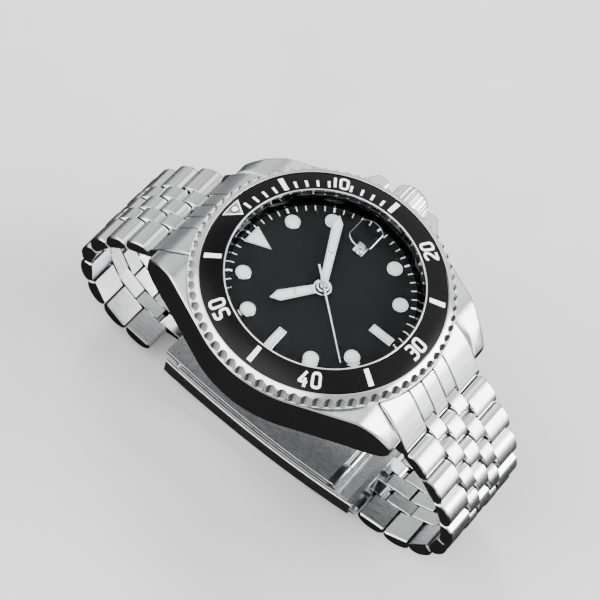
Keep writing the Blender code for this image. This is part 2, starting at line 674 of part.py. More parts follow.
def make_end_link(label, sign):
    width = LUG_WIDTH - 0.34
    outline = [(sign * y, z) for y, z in end_link_section()]
    link = solid("end_link_" + label, prism(outline, -width / 2, width / 2, place=along_x), STEEL)
    boolean(link, solid("guide_case_wall_" + label, prism(circle(WALL_R + 0.2, 72), -1, 12), None))
    hinge = (0, sign * END_HINGE[0], END_HINGE[1])
    for i, (low, high, is_outer) in enumerate(columns(width)):
        if is_outer:
            continue
        notch = prism(circle(KNUCKLE_R + 0.12, 12), low - COLUMN_GAP, high + COLUMN_GAP, place=along_x)
        below = [(-1.3, -3), (3, -3), (3, 0), (-1.3, 0)]
        below = [(sign * u, v) for u, v in below]
        cut = solid(f"guide_notch_{label}_{i}", notch, None, origin=hinge)
        boolean(link, cut)
        cut = solid(f"guide_notch_low_{label}_{i}",
                    prism(below, low - COLUMN_GAP, high + COLUMN_GAP, place=along_x), None, origin=hinge)
        boolean(link, cut)
    bore = prism(circle(PIN_BORE_R, 8), -width / 2 + 0.7, width / 2 - 0.7, place=along_x)
    boolean(link, solid("guide_pin_bore_" + label, bore, None, origin=hinge))
    bar_hole = rod_x(-11, 11, SPRING_BAR_R + 0.1)
    at = (0, sign * SPRING_BAR_AT[0], SPRING_BAR_AT[1])
    boolean(link, solid("guide_bar_hole_" + label, bar_hole, None, origin=at))
    tip, body = circle(0.42, 8), circle(SPRING_BAR_R - 0.05, 8)
    layers = [(tip, -11.3, -9.7), (body, -9.7, 9.7), (tip, 9.7, 11.3)]
    solid("spring_bar_" + label, tower(layers, place=along_x), STEEL, origin=at)


# ---------------------------------------------------------------- clasp
def clasp_z(y, offset):
    """Height of a surface of the closed clasp, which is curved like the wrist."""
    return CLASP_LOW + y * y / (2 * CLASP_CURVE_R) + offset


def curved_strip(y0, y1, low, high, steps=6):
    stations = [y0 + (y1 - y0) * i / steps for i in range(steps + 1)]
    return [(y, clasp_z(y, low)) for y in stations] + [(y, clasp_z(y, high)) for y in reversed(stations)]


def strip_x(name, section, width, finish):
    return solid(name, prism(section, -width / 2, width / 2, place=along_x), finish)


def outer_blade_hinge():
    return (0, OUTER_BLADE_HINGE_Y, clasp_z(OUTER_BLADE_HINGE_Y, 1.58))


def inner_blade_hinge():
    return (0, INNER_BLADE_HINGE_Y, clasp_z(INNER_BLADE_HINGE_Y, 1.95))


def make_clasp_cover(hinge_y, hinge_z, arm_columns):
    """Cover with side walls. It turns on the outer blade at its 12 o'clock end."""
    walls = curved_strip(-COVER_END, COVER_WALL_END, 0, WALL_TOP)
    cover = strip_x("clasp_cover", walls, COVER_WIDTH, STEEL)
    inside = curved_strip(-COVER_END + 0.9, COVER_WALL_END + 2, PLATE_THICK, 9)
    boolean(cover, strip_x("guide_cover_inside", inside, COVER_WIDTH - 1.6, None))
    beyond = curved_strip(COVER_PLATE_END, COVER_WALL_END + 2, -3, 9)
    boolean(cover, strip_x("guide_cover_beyond", beyond, COVER_WIDTH - 1.6, None))
    for low, high in arm_columns:
        arm = [(3.2 - hinge_y, hinge_z - 0.9), (3.2 - hinge_y, hinge_z + 0.9), (-hinge_y, hinge_z + 1.0),
               (-hinge_y - 1.1, hinge_z), (-hinge_y, hinge_z - 1.0)]
        faces = prism(arm, low, high, place=along_x)
        boolean(cover, solid(f"guide_cover_arm_{low:.0f}", faces, None), "UNION")
    pin_holes = moved(rod_x(-8.6, 8.6, 0.5), outer_blade_hinge())
    return boolean(cover, solid("guide_blade_holes", pin_holes, None))


def make_clasp_outer_blade():
    outline = curved_strip(INNER_BLADE_HINGE_Y + 1.0, OUTER_BLADE_HINGE_Y, 1.25, 1.95)
    blade = strip_x("clasp_outer_blade", outline, BLADE_WIDTH, STEEL)
    barrel = moved(rod_x(-BLADE_WIDTH / 2, BLADE_WIDTH / 2, 0.52, 10), outer_blade_hinge())
    boolean(blade, solid("guide_outer_barrel", barrel, None), "UNION")
    axle = moved(rod_x(-8.5, 8.5, 0.38), outer_blade_hinge())
    boolean(blade, solid("guide_outer_axle", axle, None), "UNION")
    _, y, z = inner_blade_hinge()
    tongue = [(y, z - 0.5), (y + 2.2, z - 0.65), (y + 2.2, z - 0.35), (y, z + 0.1)]
    boolean(blade, solid("guide_outer_tongue", prism(tongue, -2.4, 2.4, place=along_x), None), "UNION")
    knuckle = moved(rod_x(-2.4, 2.4, 0.8, 10), inner_blade_hinge())
    boolean(blade, solid("guide_outer_knuckle", knuckle, None), "UNION")
    return boolean(blade, solid("guide_outer_bore", moved(rod_x(-3, 3, 0.45), inner_blade_hinge()), None))


def make_clasp_inner_blade(hinge_y, hinge_z, arm_columns):
    strip = curved_strip(INNER_BLADE_HINGE_Y, INNER_BLADE_END, 2.2, 2.9)
    blade = strip_x("clasp_inner_blade", strip, BLADE_WIDTH, STEEL)
    at = inner_blade_hinge()
    for sign in (-1, 1):
        eye = prism(circle(0.8, 10, at[1:]), sign * 2.6, sign * BLADE_WIDTH / 2, place=along_x)
        boolean(blade, solid(f"guide_inner_eye_{sign + 1}", eye, None), "UNION")
    relief = box(at[1] - 1.2, at[1] + 1.1, at[2] - 2, at[2] + 2)
    boolean(blade, solid("guide_inner_relief", prism(relief, -2.6, 2.6, place=along_x), None))
    axle = moved(rod_x(-BLADE_WIDTH / 2 + 0.4, BLADE_WIDTH / 2 - 0.4, 0.36), at)
    boolean(blade, solid("guide_inner_axle", axle, None), "UNION")
    root_y = INNER_BLADE_END - 1.6
    root_z = clasp_z(root_y, 2.88)
    for low, high in arm_columns:
        arm = [(root_y, root_z - 0.6), (hinge_y - 0.9, hinge_z - 0.85), (hinge_y + 0.2, hinge_z - 0.95),
               (hinge_y + 0.9, hinge_z - 0.3), (hinge_y + 0.9, hinge_z + 0.3),
               (hinge_y + 0.2, hinge_z + 0.95), (hinge_y - 0.9, hinge_z + 0.85), (root_y, root_z)]
        faces = prism(arm, low, high, place=along_x)
        boolean(blade, solid(f"guide_inner_arm_{low:.0f}", faces, None), "UNION")
    hole = moved(rod_x(-7.5, 7.5, PIN_BORE_R), (0, hinge_y, hinge_z))
    boolean(blade, solid("guide_inner_hole", hole, None))
    solid("clasp_spring_bar", rod_x(-7.3, 7.3, PIN_R), STEEL, origin=(0, hinge_y, hinge_z))
    return blade


def make_clasp_latch():
    """Safety latch folded under the cover, with two lips beside the end of the bracelet."""
    hinge_end = -COVER_END - 0.95
    strip = curved_strip(hinge_end, -LATCH_END, -0.75, -0.12, 3)
    latch = strip_x("clasp_latch", strip, COVER_WIDTH - 2, STEEL)
    near, far = -COVER_END - 0.3, -COVER_END - 1.0
    lip = [(near, clasp_z(COVER_END, -0.7)), (far, clasp_z(COVER_END, -0.6)), (far, clasp_z(COVER_END, 1.0)),
           (near, clasp_z(COVER_END, 1.0))]
    for low, high in ((-7.4, -4.6), (4.6, 7.4)):
        faces = prism(lip, low, high, place=along_x)
        boolean(latch, solid(f"guide_latch_lip_{low:.0f}", faces, None), "UNION")
    return latch


def make_clasp():
    hinge_y, hinge_z = hinge_points()[-1]
    cols = columns(ROW_WIDTH - ROW_TAPER * len(HEADINGS))
    arm_columns = [cols[i][:2] for i in (1, 3)]
    make_clasp_cover(hinge_y, hinge_z, arm_columns)
    make_clasp_outer_blade()
    make_clasp_inner_blade(hinge_y, hinge_z, arm_columns)
    make_clasp_latch()


# ---------------------------------------------------------------- assembly
def main():
    clear_scene()
    make_mid_case()
    make_case_back()
    ring("case_back_gasket", 17.1, 17.8, 1.12, 1.8, RUBBER)
    make_crystal()
    ring("crystal_gasket", 16.18, 16.42, 10.45, 11.4, RUBBER)
    make_date_magnifier()
    make_rehaut_ring()
    make_bezel_ring()
    make_bezel_insert()
    make_bezel_pearl()
    make_bezel_click_spring()
    make_crown()
    make_winding_stem()
    make_crown_tube()
    make_setting_lever()
    make_dial()
    ring("date_ring", DATE_R - 1.6, DATE_R + 1.6, 7.42, 7.7, LUME, 31)
    make_hands()
    make_movement_ring()
    make_movement_frame()
    make_train()
    make_pallet_fork()
    make_balance()
    make_balance_spring()
    make_rotor()
    for label, sign in (("12", 1), ("6", -1)):
        make_end_link(label, sign)
    make_rows()
    make_clasp()


main()
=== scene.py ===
"""Looks of the dive watch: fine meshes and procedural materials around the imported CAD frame.

Shapes are written in millimetres in the row frame: the origin is the centre of the case back's outer
face, +Z points to the crystal, +Y to 12 o'clock and +X to the crown.
"""

import json
from math import atan2, cos, hypot, pi, radians, sin, sqrt

import bmesh
import bpy
from mathutils import Matrix, Vector
from mathutils.geometry import delaunay_2d_cdt, tessellate_polygon


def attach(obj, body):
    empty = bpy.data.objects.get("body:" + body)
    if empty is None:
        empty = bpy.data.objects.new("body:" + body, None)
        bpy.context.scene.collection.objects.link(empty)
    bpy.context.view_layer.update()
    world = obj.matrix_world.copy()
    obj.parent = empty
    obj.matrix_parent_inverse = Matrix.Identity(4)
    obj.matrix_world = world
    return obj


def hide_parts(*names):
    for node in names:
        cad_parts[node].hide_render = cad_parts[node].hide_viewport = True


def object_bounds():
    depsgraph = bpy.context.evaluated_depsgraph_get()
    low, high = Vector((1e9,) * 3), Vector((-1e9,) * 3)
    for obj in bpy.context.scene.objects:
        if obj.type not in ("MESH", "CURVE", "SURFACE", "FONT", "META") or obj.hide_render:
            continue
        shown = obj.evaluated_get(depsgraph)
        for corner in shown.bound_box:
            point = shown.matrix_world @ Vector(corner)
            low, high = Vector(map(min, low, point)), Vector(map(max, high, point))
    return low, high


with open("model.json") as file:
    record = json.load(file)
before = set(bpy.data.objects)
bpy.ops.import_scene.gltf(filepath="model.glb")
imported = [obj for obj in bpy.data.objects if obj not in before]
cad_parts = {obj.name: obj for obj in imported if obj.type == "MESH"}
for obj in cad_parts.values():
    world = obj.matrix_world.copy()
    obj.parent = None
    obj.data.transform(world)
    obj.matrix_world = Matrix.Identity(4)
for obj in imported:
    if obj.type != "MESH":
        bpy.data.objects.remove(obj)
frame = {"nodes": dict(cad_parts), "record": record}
CAD_BOX = [list(corner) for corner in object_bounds()]

MM = 0.001
WELD = 1e-7

# Camera: its place and axes in the row frame
CAMERA_AT = (-0.19866, -0.07611, 0.36440)
CAMERA_RIGHT = (0.60998836, -0.77501152, 0.16514039)
CAMERA_UP = (0.63672135, 0.60343488, 0.48005444)
CAMERA_BACK = (-0.47169919, -0.18767921, 0.86155464)
CAMERA_LENS = 156.7

# Case and bezel
CASE_R = 21.6
CASE_BOTTOM = 1.1
CASE_TOP = 9.35
NECK_R = 17.2
LUG_ANGLE = radians(23)
LUG_WIDTH = 20.0
LUG_TIP_Y = 24.9
LUG_PROFILE = ((18.6, 9.35), (19.5, 9.1), (21.0, 8.2), (22.5, 7.0), (23.8, 5.4), (24.9, 4.0))
WALL_R = 21.5
CROWN_Z = 5.6
BEZEL_BOTTOM = 9.7
SCALLOPS = 72
INSERT_OUT = (19.96, 11.5)
INSERT_IN = (16.4, 12.56)
INSERT_THICK = 0.6
CRYSTAL_R = 16.05
CRYSTAL_TOP = 12.95
CRYSTAL_LOW = 10.4
DIAL_R = 16.1
DIAL_TOP = 8.5
DIAL_THICK = 0.4
HOUR_ANGLE = 305.3
MINUTE_ANGLE = 63.7
SECONDS_ANGLE = 221.0
DATE_R = 10.4
DATE_TOP = 7.7
DATE_SHOWN = 28
DOT_AT = 12.74
BAR_AT = 12.09
LENS_R = 2.75
LENS_HALF_WIDTH = 2.15
TRACK_R = 14.9
MARK_R = 18.15
PEARL_AT = 18.5
BEZEL_BORE_R = 17.35
BEZEL_WALL = ((21.7, 9.9), (21.7, 10.4), (21.15, 11.15), (20.6, 11.45), (20.2, 11.62))
BEZEL_RIM = ((21.55, 9.7), (21.75, 9.75), (21.75, 9.85), (21.7, 9.9))
SCOOP_AT = 21.62
SCOOP_R = 0.86
CASE_CHAMFER = 0.22
GUARD = ((23.1, 6.3), (23.4, 5.9), (23.4, 4.4), (23.1, 3.85))
FLUTES = 20
CROWN_SHAPE = ((1.5, 21.9), (2.9, 21.9), (3.2, 22.3), (3.2, 25.55), (2.6, 26.15), (0.01, 26.2))

# Bracelet and clasp
CLASP_CURVE_R = 110.0
CLASP_LOW = -33.4
COVER_HALF = 9.0
COVER_HIGH = 3.4
COVER_END = -21.3
PLATE_THICK = 0.8
BLADE_WIDTH = 14.6
BLADE_HINGES = (17.2, -16.5)
BLADE_END = 20.2
KNUCKLE_R = 1.25
SPRING_BAR_AT = (23.0, 3.2)
END_HINGE = (25.4, 1.3)
PITCH = 5.57
HEADINGS = (31, 45, 59, 76, 98, 124, 150, 171)
ROW_WIDTH = 19.6
ROW_TAPER = 0.3
COLUMN_SPLITS = (0.0775, 0.2213)
COLUMN_GAP = 0.14


# -------------------- materials
class Graph:
    """Short calls for building the nodes of a material or of the world."""

    def __init__(self, name, group=bpy.data.materials, shader="Principled BSDF"):
        self.owner = group.new(name)
        self.owner.use_nodes = True
        self.tree = self.owner.node_tree
        self.shader = self.tree.nodes[shader]

    def node(self, kind, **values):
        made = self.tree.nodes.new(kind)
        for key, value in values.items():
            setattr(made, key, value)
        return made

    def link(self, source, target):
        self.tree.links.new(source, target)

    def place(self, scale=(1, 1, 1)):
        """Object coordinates in millimetres, stretched by scale."""
        coords = self.node("ShaderNodeTexCoord")
        mapping = self.node("ShaderNodeMapping")
        mapping.inputs["Scale"].default_value = [1000 * s for s in scale]
        self.link(coords.outputs["Object"], mapping.inputs["Vector"])
        return mapping.outputs["Vector"]

    def around(self, along, across, height=1.0):
        """Coordinates that run round the Z axis, so that a noise turns into circular brushing."""
        coords = self.node("ShaderNodeTexCoord")
        parts = self.node("ShaderNodeSeparateXYZ")
        self.link(coords.outputs["Object"], parts.inputs[0])
        angle = self.math("ARCTAN2", parts.outputs["Y"], parts.outputs["X"])
        flat = self.node("ShaderNodeCombineXYZ")
        self.link(parts.outputs["X"], flat.inputs["X"])
        self.link(parts.outputs["Y"], flat.inputs["Y"])
        radius = self.node("ShaderNodeVectorMath", operation="LENGTH")
        self.link(flat.outputs[0], radius.inputs[0])
        made = self.node("ShaderNodeCombineXYZ")
        self.link(self.math("MULTIPLY", angle, along), made.inputs["X"])
        self.link(self.math("MULTIPLY", radius.outputs["Value"], 1000 * across), made.inputs["Y"])
        self.link(self.math("MULTIPLY", parts.outputs["Z"], 1000 * height), made.inputs["Z"])
        return made.outputs[0]

    def math(self, operation, first, second):
        made = self.node("ShaderNodeMath", operation=operation)
        for socket, value in zip(made.inputs, (first, second)):
            if isinstance(value, (int, float)):
                socket.default_value = value
            else:
                self.link(value, socket)
        return made.outputs[0]

    def noise(self, vector, scale, detail=3.0, roughness=0.6):
        made = self.node("ShaderNodeTexNoise")
        made.inputs["Scale"].default_value = scale
        made.inputs["Detail"].default_value = detail
        made.inputs["Roughness"].default_value = roughness
        self.link(vector, made.inputs["Vector"])
        return made.outputs["Fac"]

    def spread(self, value, low, high, start=0.3, end=0.7, **values):
        made = self.node("ShaderNodeMapRange", **values)
        for name, number in (("From Min", start), ("From Max", end), ("To Min", low), ("To Max", high)):
            made.inputs[name].default_value = number
        self.link(value, made.inputs["Value"])
        return made.outputs["Result"]

    def ramp(self, value, low, high, start=0.3, end=0.7):
        made = self.node("ShaderNodeValToRGB")
        made.color_ramp.elements[0].position = start
        made.color_ramp.elements[0].color = (*low, 1)
        made.color_ramp.elements[1].position = end
        made.color_ramp.elements[1].color = (*high, 1)
        self.link(value, made.inputs["Fac"])
        return made.outputs["Color"]

    def weigh(self, first, second):
        """Seven parts of the first value and three of the second."""
        return self.math("ADD", self.math("MULTIPLY", first, 0.7), self.math("MULTIPLY", second, 0.3))

    def mix(self, factor, first, second):
        """Blend two shader nodes: factor 0 gives the first, 1 the second."""
        made = self.node("ShaderNodeMixShader")
        for source, socket in zip((factor, first.outputs[0], second.outputs[0]), made.inputs):
            self.link(source, socket)
        return made

    def show(self, shader):
        self.link(shader.outputs[0], self.tree.nodes["Material Output"].inputs["Surface"])

    def bump(self, height, strength, distance):
        made = self.node("ShaderNodeBump")
        made.inputs["Strength"].default_value = strength
        made.inputs["Distance"].default_value = distance * MM
        self.link(height, made.inputs["Height"])
        self.link(made.outputs["Normal"], self.shader.inputs["Normal"])

    def set(self, **values):
        for name, value in values.items():
            label = name.replace("_", " ").title().replace("Ior", "IOR")
            self.shader.inputs[label].default_value = value
        return self


def brushed(name, direction, dark=(0.46, 0.465, 0.475), light=(0.71, 0.715, 0.725), rough=(0.22, 0.36),
            bump=0.45):
    """Steel with a fine grain along x, along y or around z."""
    g = Graph(name)
    scales = {"x": (0.5, 11.0, 11.0), "y": (11.0, 0.5, 11.0)}
    vector = g.around(10.0, 11.0, 2.0) if direction == "around" else g.place(scales[direction])
    grain = g.noise(vector, 1.0, 5.0, 0.75)
    patches = g.noise(g.place(), 0.35, 3.0, 0.6)
    g.link(g.ramp(g.weigh(grain, patches), dark, light), g.shader.inputs["Base Color"])
    g.link(g.spread(grain, *rough), g.shader.inputs["Roughness"])
    g.bump(grain, bump, 0.02)
    g.set(metallic=1.0)
    return g.owner


def polished(name, colour=(0.74, 0.745, 0.755), rough=(0.05, 0.12)):
    """Mirror steel with faint wiping marks and a few hairline scratches."""
    g = Graph(name)
    smudges = g.noise(g.place(), 0.6, 4.0, 0.6)
    hairlines = g.noise(g.place((9.0, 0.7, 4.0)), 1.0, 2.0, 0.5)
    mixed = g.weigh(smudges, hairlines)
    g.link(g.ramp(mixed, [0.93 * c for c in colour], colour), g.shader.inputs["Base Color"])
    g.link(g.spread(mixed, *rough), g.shader.inputs["Roughness"])
    g.bump(mixed, 0.04, 0.02)
    g.set(metallic=1.0)
    return g.owner


def paint(name, dark, light, rough, scale=2.0, bump=0.1, depth=0.02, **values):
    """A painted, lacquered or moulded surface with a fine grain."""
    g = Graph(name)
    grain = g.noise(g.place(), scale, 5.0, 0.65)
    g.link(g.ramp(grain, dark, light), g.shader.inputs["Base Color"])
    g.link(g.spread(grain, *rough), g.shader.inputs["Roughness"])
    g.bump(grain, bump, depth)
    g.set(**values)
    return g.owner


def glass(name, ior):
    """Coated crystal: no glare from above, glass reflections at a flat angle, lamps reach the dial."""
    g = Graph(name)
    tint = (0.97, 0.985, 0.99, 1)
    g.set(base_color=tint, transmission_weight=1.0, ior=ior)
    coated = g.node("ShaderNodeBsdfRefraction")
    coated.inputs["Color"].default_value = tint
    coated.inputs["IOR"].default_value = ior
    haze = g.spread(g.noise(g.place(), 0.8, 4.0, 0.6), 0.0, 0.03)
    g.link(haze, g.shader.inputs["Roughness"])
    g.link(haze, coated.inputs["Roughness"])
    clear = g.node("ShaderNodeBsdfTransparent")
    clear.inputs["Color"].default_value = (0.92, 0.92, 0.92, 1)
    flatness = g.spread(g.node("ShaderNodeLayerWeight").outputs["Facing"], 0.0, 1.0, 0.5, 0.75)
    is_shadow = g.node("ShaderNodeLightPath").outputs["Is Shadow Ray"]
    g.show(g.mix(is_shadow, g.mix(flatness, coated, g.shader), clear))
    return g.owner


FINISH = {
    "brushed_around": brushed("steel_brushed_around", "around"),
    "brushed_y": brushed("steel_brushed_lengthwise", "y"),
    "polished": polished("steel_polished"),
    "movement": brushed("steel_movement", "x", rough=(0.2, 0.3)),
    "brass": brushed("brass_wheels", "around", (0.66, 0.48, 0.2), (0.8, 0.62, 0.3)),
    # Near-black mirror steel: painted shade for the bezel scoops, the pearl's cup, the hand hub's groove and
    # the dark lines round the lume
    "painted_shade": polished("steel_painted_shade", (0.05, 0.05, 0.052), (0.12, 0.2)),
    "blued": polished("steel_blued", (0.05, 0.09, 0.32), (0.15, 0.25)),
    "insert": paint("insert_black", (0.002, 0.002, 0.0022), (0.004, 0.0037, 0.0042), (0.12, 0.2), 3.0, 0.03,
                    specular_ior_level=0.12),
    "dial": paint("dial_black", (0.006, 0.006, 0.006), (0.009, 0.009, 0.009), (0.4, 0.5), 8.0, 0.08,
                  specular_ior_level=0.04),
    "rehaut": polished("rehaut_black", (0.035, 0.035, 0.036), (0.05, 0.09)),
    "satin": brushed("steel_satin", "y", (0.68, 0.685, 0.69), (0.78, 0.785, 0.79), (0.16, 0.26), 0.1),
    "print": paint("print_white", (0.82, 0.82, 0.81), (0.92, 0.92, 0.91), (0.4, 0.55), 9.0, 0.1),
    "lume": paint("lume_white", (0.44, 0.45, 0.435), (0.57, 0.58, 0.56), (0.5, 0.65), 9.0, 0.3, 0.03),
    "pearl": paint("pearl_white", (0.86, 0.87, 0.85), (0.94, 0.95, 0.93), (0.1, 0.18), 6.0, 0.1,
                   coat_weight=0.6),
    "triangle": paint("triangle_grey", (0.13, 0.13, 0.13), (0.22, 0.22, 0.215), (0.4, 0.55), 7.0, 0.5, 0.03),
    "enamel": paint("white_enamel", (0.84, 0.84, 0.83), (0.93, 0.93, 0.92), (0.3, 0.42), 6.0, 0.08),
    "rubber": paint("rubber_black", (0.012, 0.012, 0.012), (0.03, 0.03, 0.03), (0.6, 0.8), 4.0, 0.3),
    "glass": glass("crystal_glass", 1.1),
    "lens": glass("date_lens_glass", 1.18),
    "lens_edge": polished("date_lens_edge", (0.5, 0.5, 0.51)),
}
# Slot and finishes of the brushed pieces with polished edges
LINK_STEEL = ("brushed_steel", ["brushed_y", "polished"])
CAD_FINISH = {
    "brushed_steel": "brushed_y", "case_back_steel": "brushed_around", "polished_steel": "polished",
    "hand_steel": "polished", "black_rubber": "rubber", "crystal_glass": "glass", "black_insert": "insert",
    "black_dial": "dial", "lume_white": "lume", "white_enamel": "enamel", "movement_steel": "movement",
    "brass": "brass", "blued_steel": "blued",
}


def dress_cad_nodes():
    """Give each CAD node the finish of its material slot; the pipes seen under the hands are steel."""
    for part in frame["record"]["subparts"]:
        slots = frame["nodes"][part["node"]].data.materials
        slots.clear()
        is_pipe = part["node"] in ("hour_wheel", "center_wheel")
        slots.append(FINISH["movement" if is_pipe else CAD_FINISH[part["material_slot"]]])


# -------------------- shapes
def rounded(outline, radius, closed=True, steps=4):
    """Swap each corner of an outline for a short smooth curve."""
    made = []
    count = len(outline)
    for i, corner in enumerate(outline):
        if not closed and i in (0, count - 1):
            made.append(corner)
            continue
        middle = Vector(corner)
        before, after = Vector(outline[i - 1]) - middle, Vector(outline[(i + 1) % count]) - middle
        start = middle + before.normalized() * min(radius, 0.48 * before.length)
        end = middle + after.normalized() * min(radius, 0.48 * after.length)
        for k in range(steps + 1):
            t = k / steps
            made.append(tuple(start * (1 - t) ** 2 + middle * 2 * t * (1 - t) + end * t * t))
    return made


def spaced(points, count):
    """Points at even distances along a line of points."""
    lengths = [0.0]
    for a, b in zip(points, points[1:]):
        lengths.append(lengths[-1] + (Vector(b) - Vector(a)).length)
    made = []
    segment = 0
    for k in range(count + 1):
        target = lengths[-1] * k / count
        while segment < len(points) - 2 and lengths[segment + 1] < target:
            segment += 1
        t = (target - lengths[segment]) / (lengths[segment + 1] - lengths[segment])
        made.append(tuple(Vector(points[segment]).lerp(Vector(points[segment + 1]), t)))
    return made


def inset(outline, distance):
    """Move a counterclockwise outline inward by a distance."""
    made = []
    count = len(outline)
    for i, point in enumerate(outline):
        a = (Vector(point) - Vector(outline[i - 1])).normalized()
        b = (Vector(outline[(i + 1) % count]) - Vector(point)).normalized()
        shift = Vector((-a.y - b.y, a.x + b.x)) / max(0.4, 1 + a.dot(b))
        made.append(tuple(Vector(point) + shift * distance))
    return made


def arc(radius, degrees, centre=(0, 0)):
    return [(centre[0] + radius * cos(radians(a)), centre[1] + radius * sin(radians(a))) for a in degrees]


def circle(radius, count, centre=(0, 0)):
    return [(centre[0] + radius * cos(2 * pi * i / count), centre[1] + radius * sin(2 * pi * i / count))
            for i in range(count)]


def box(x0, x1, y0, y1):
    return [(x0, y0), (x1, y0), (x1, y1), (x0, y1)]


def turned_to(outline, clockwise):
    """Turn an outline drawn towards 12 o'clock clockwise by an angle in degrees."""
    a = radians(-clockwise)
    return [(u * cos(a) - v * sin(a), u * sin(a) + v * cos(a)) for u, v in outline]


def along_z(points, height):
    return [(u, v, height) for u, v in points]


def along_x(points, distance):
    return [(distance, u, v) for u, v in points]


def between(curve, value):
    """Height of a (place, height) line at a place."""
    if value <= curve[0][0]:
        return curve[0][1]
    for (a, low), (b, high) in zip(curve, curve[1:]):
        if value <= b:
            return low + (high - low) * (value - a) / (b - a)
    return curve[-1][1]


class Shape:
    """One piece gathered face by face, in millimetres. kind is the index of the faces' finish."""

    def __init__(self):
        self.points = []
        self.faces = []
        self.kinds = []
        self.kind = 0

    def face(self, points):
        start = len(self.points)
        self.points += points
        self.faces.append(tuple(range(start, len(self.points))))
        self.kinds.append(self.kind)

    def grid(self, rows, loop=True, kinds=None):
        """Quads between rows of points. kinds may give each column its own finish."""
        start, width = len(self.points), len(rows[0])
        for row in rows:
            self.points += row
        for r in range(len(rows) - 1):
            for i in range(width if loop else width - 1):
                a, b = start + r * width + i, start + r * width + (i + 1) % width
                self.faces.append((a, b, b + width, a + width))
                self.kinds.append(kinds[i] if kinds else self.kind)

    def cap(self, ring, *holes):
        """A flat face, cut into triangles, with holes."""
        rings = [[Vector(point) for point in loop] for loop in (ring, *holes)]
        flat = [point for loop in (ring, *holes) for point in loop]
        for triangle in tessellate_polygon(rings):
            self.face([flat[i] for i in triangle])

    def loft(self, rings):
        self.grid(rings)
        self.cap(rings[0])
        self.cap(rings[-1])

    def slab(self, outline, low, high, bevel=0.0, place=along_z, kinds=None, edge_kind=0, high_bevel=None):
        """An outline with depth and bevelled edges; the two ends may have bevels of their own."""
        bevels = (bevel, bevel if high_bevel is None else high_bevel)
        middle = [place(outline, low + bevels[0]), place(outline, high - bevels[1])]
        self.grid(middle, kinds=kinds)
        kept = self.kind
        self.kind = max(kept, edge_kind)
        for edge, size, distance in zip(middle, bevels, (low, high)):
            small = place(inset(outline, size), distance)
            self.grid([small, edge])
            self.cap(small)
        self.kind = kept

    def turned(self, profile, steps):
        """A closed (radius, height) profile turned round the axis."""
        rings = [along_z(circle(r, steps), h) for r, h in profile]
        self.grid(rings + rings[:1])

    def strip(self, left, right, place, high, low, across=1, closed=False):
        """A raised band between two lines; place turns (u, v) and a height into a point."""
        rings = []
        for a, b in zip(left, right):
            line = [tuple(Vector(a).lerp(Vector(b), k / across)) for k in range(across + 1)]
            rings.append([place(p, high) for p in line] + [place(p, low) for p in reversed(line)])
        if closed:
            self.grid(rings + rings[:1])
        else:
            self.grid(rings)
            self.face(list(rings[0]))
            self.face(list(rings[-1]))

    def stroke(self, path, width, place, high, low, closed=False):
        """A raised line of a given width along a path."""
        count = len(path)
        left, right = [], []
        for i, point in enumerate(path):
            before = Vector(path[i - 1]) if closed or i else None
            after = Vector(path[(i + 1) % count]) if closed or i < count - 1 else None
            a = (Vector(point) - before).normalized() if before else (after - Vector(point)).normalized()
            b = (after - Vector(point)).normalized() if after else a
            side = Vector((-a.y - b.y, a.x + b.x)) / max(0.5, 1 + a.dot(b)) * width / 2
            left.append(tuple(Vector(point) + side))
            right.append(tuple(Vector(point) - side))
        self.strip(left, right, place, high, low, closed=closed)

    def piece(self, name, body, slot, finishes, replaces=(), sharp=30, matrix=None):
        mesh = bpy.data.meshes.new(name)
        mesh.from_pydata([Vector(point) * MM for point in self.points], [], self.faces)
        for finish in finishes:
            mesh.materials.append(FINISH[finish])
        mesh.polygons.foreach_set("material_index", self.kinds)
        shape = bmesh.new()
        shape.from_mesh(mesh)
        bmesh.ops.remove_doubles(shape, verts=shape.verts, dist=WELD)
        bmesh.ops.dissolve_degenerate(shape, edges=shape.edges, dist=WELD)
        bmesh.ops.recalc_face_normals(shape, faces=shape.faces)
        shape.to_mesh(mesh)
        shape.free()
        mesh.shade_smooth()
        mesh.set_sharp_from_angle(angle=radians(sharp))
        piece = bpy.data.objects.new(name, mesh)
        bpy.context.scene.collection.objects.link(piece)
        if matrix:
            piece.matrix_world = matrix
        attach(piece, body)
        if replaces:
            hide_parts(*replaces)


# Strokes of the numerals, in a box from (0, 0) to (1, 1); a closed stroke ends where it starts
LOOP = [(0, 0.5), (0, 1), (1, 1), (1, 0), (0, 0), (0, 0.5)]
GLYPHS = {
    "0": [LOOP],
    "1": [[(0.5, 0), (0.5, 1)]],
    "2": [[(0, 0.8), (0, 1), (1, 1), (1, 0.62), (0, 0.1), (0, 0), (1, 0)]],
    "3": [[(0, 1), (1, 1), (1, 0), (0, 0)], [(0.25, 0.52), (0.9, 0.52)]],
    "4": [[(0.85, 1), (0.05, 0.3), (0.05, 0.25), (1.1, 0.25)], [(0.78, 0.55), (0.78, -0.1)]],
    "5": [[(1, 1), (0.02, 1), (0, 0.56), (1, 0.56), (1, 0), (0, 0), (0, 0.12)]],
    "6": [[(1, 1), (0, 1), (0, 0), (1, 0), (1, 0.54), (0.1, 0.54)]],
    "7": [[(0, 1), (1, 1), (0.35, 0)]],
    "8": [LOOP, [(0.1, 0.5), (0.9, 0.5)]],
    "9": [[(0, 0), (1, 0), (1, 1), (0, 1), (0, 0.46), (0.9, 0.46)]],
}


def write_digit(shape, digit, size, stroke, place, high, low):
    """One numeral centred on (0, 0); size is its width and height over all."""
    width, height = size[0] - stroke, size[1] - stroke
    for path in GLYPHS[digit]:
        line = [((x - 0.5) * width, (y - 0.5) * height) for x, y in path]
        closed = line[0] == line[-1]
        line = rounded(line[:-1] if closed else line, 0.32 * size[0], closed)
        shape.stroke(line, stroke, place, high, low, closed)


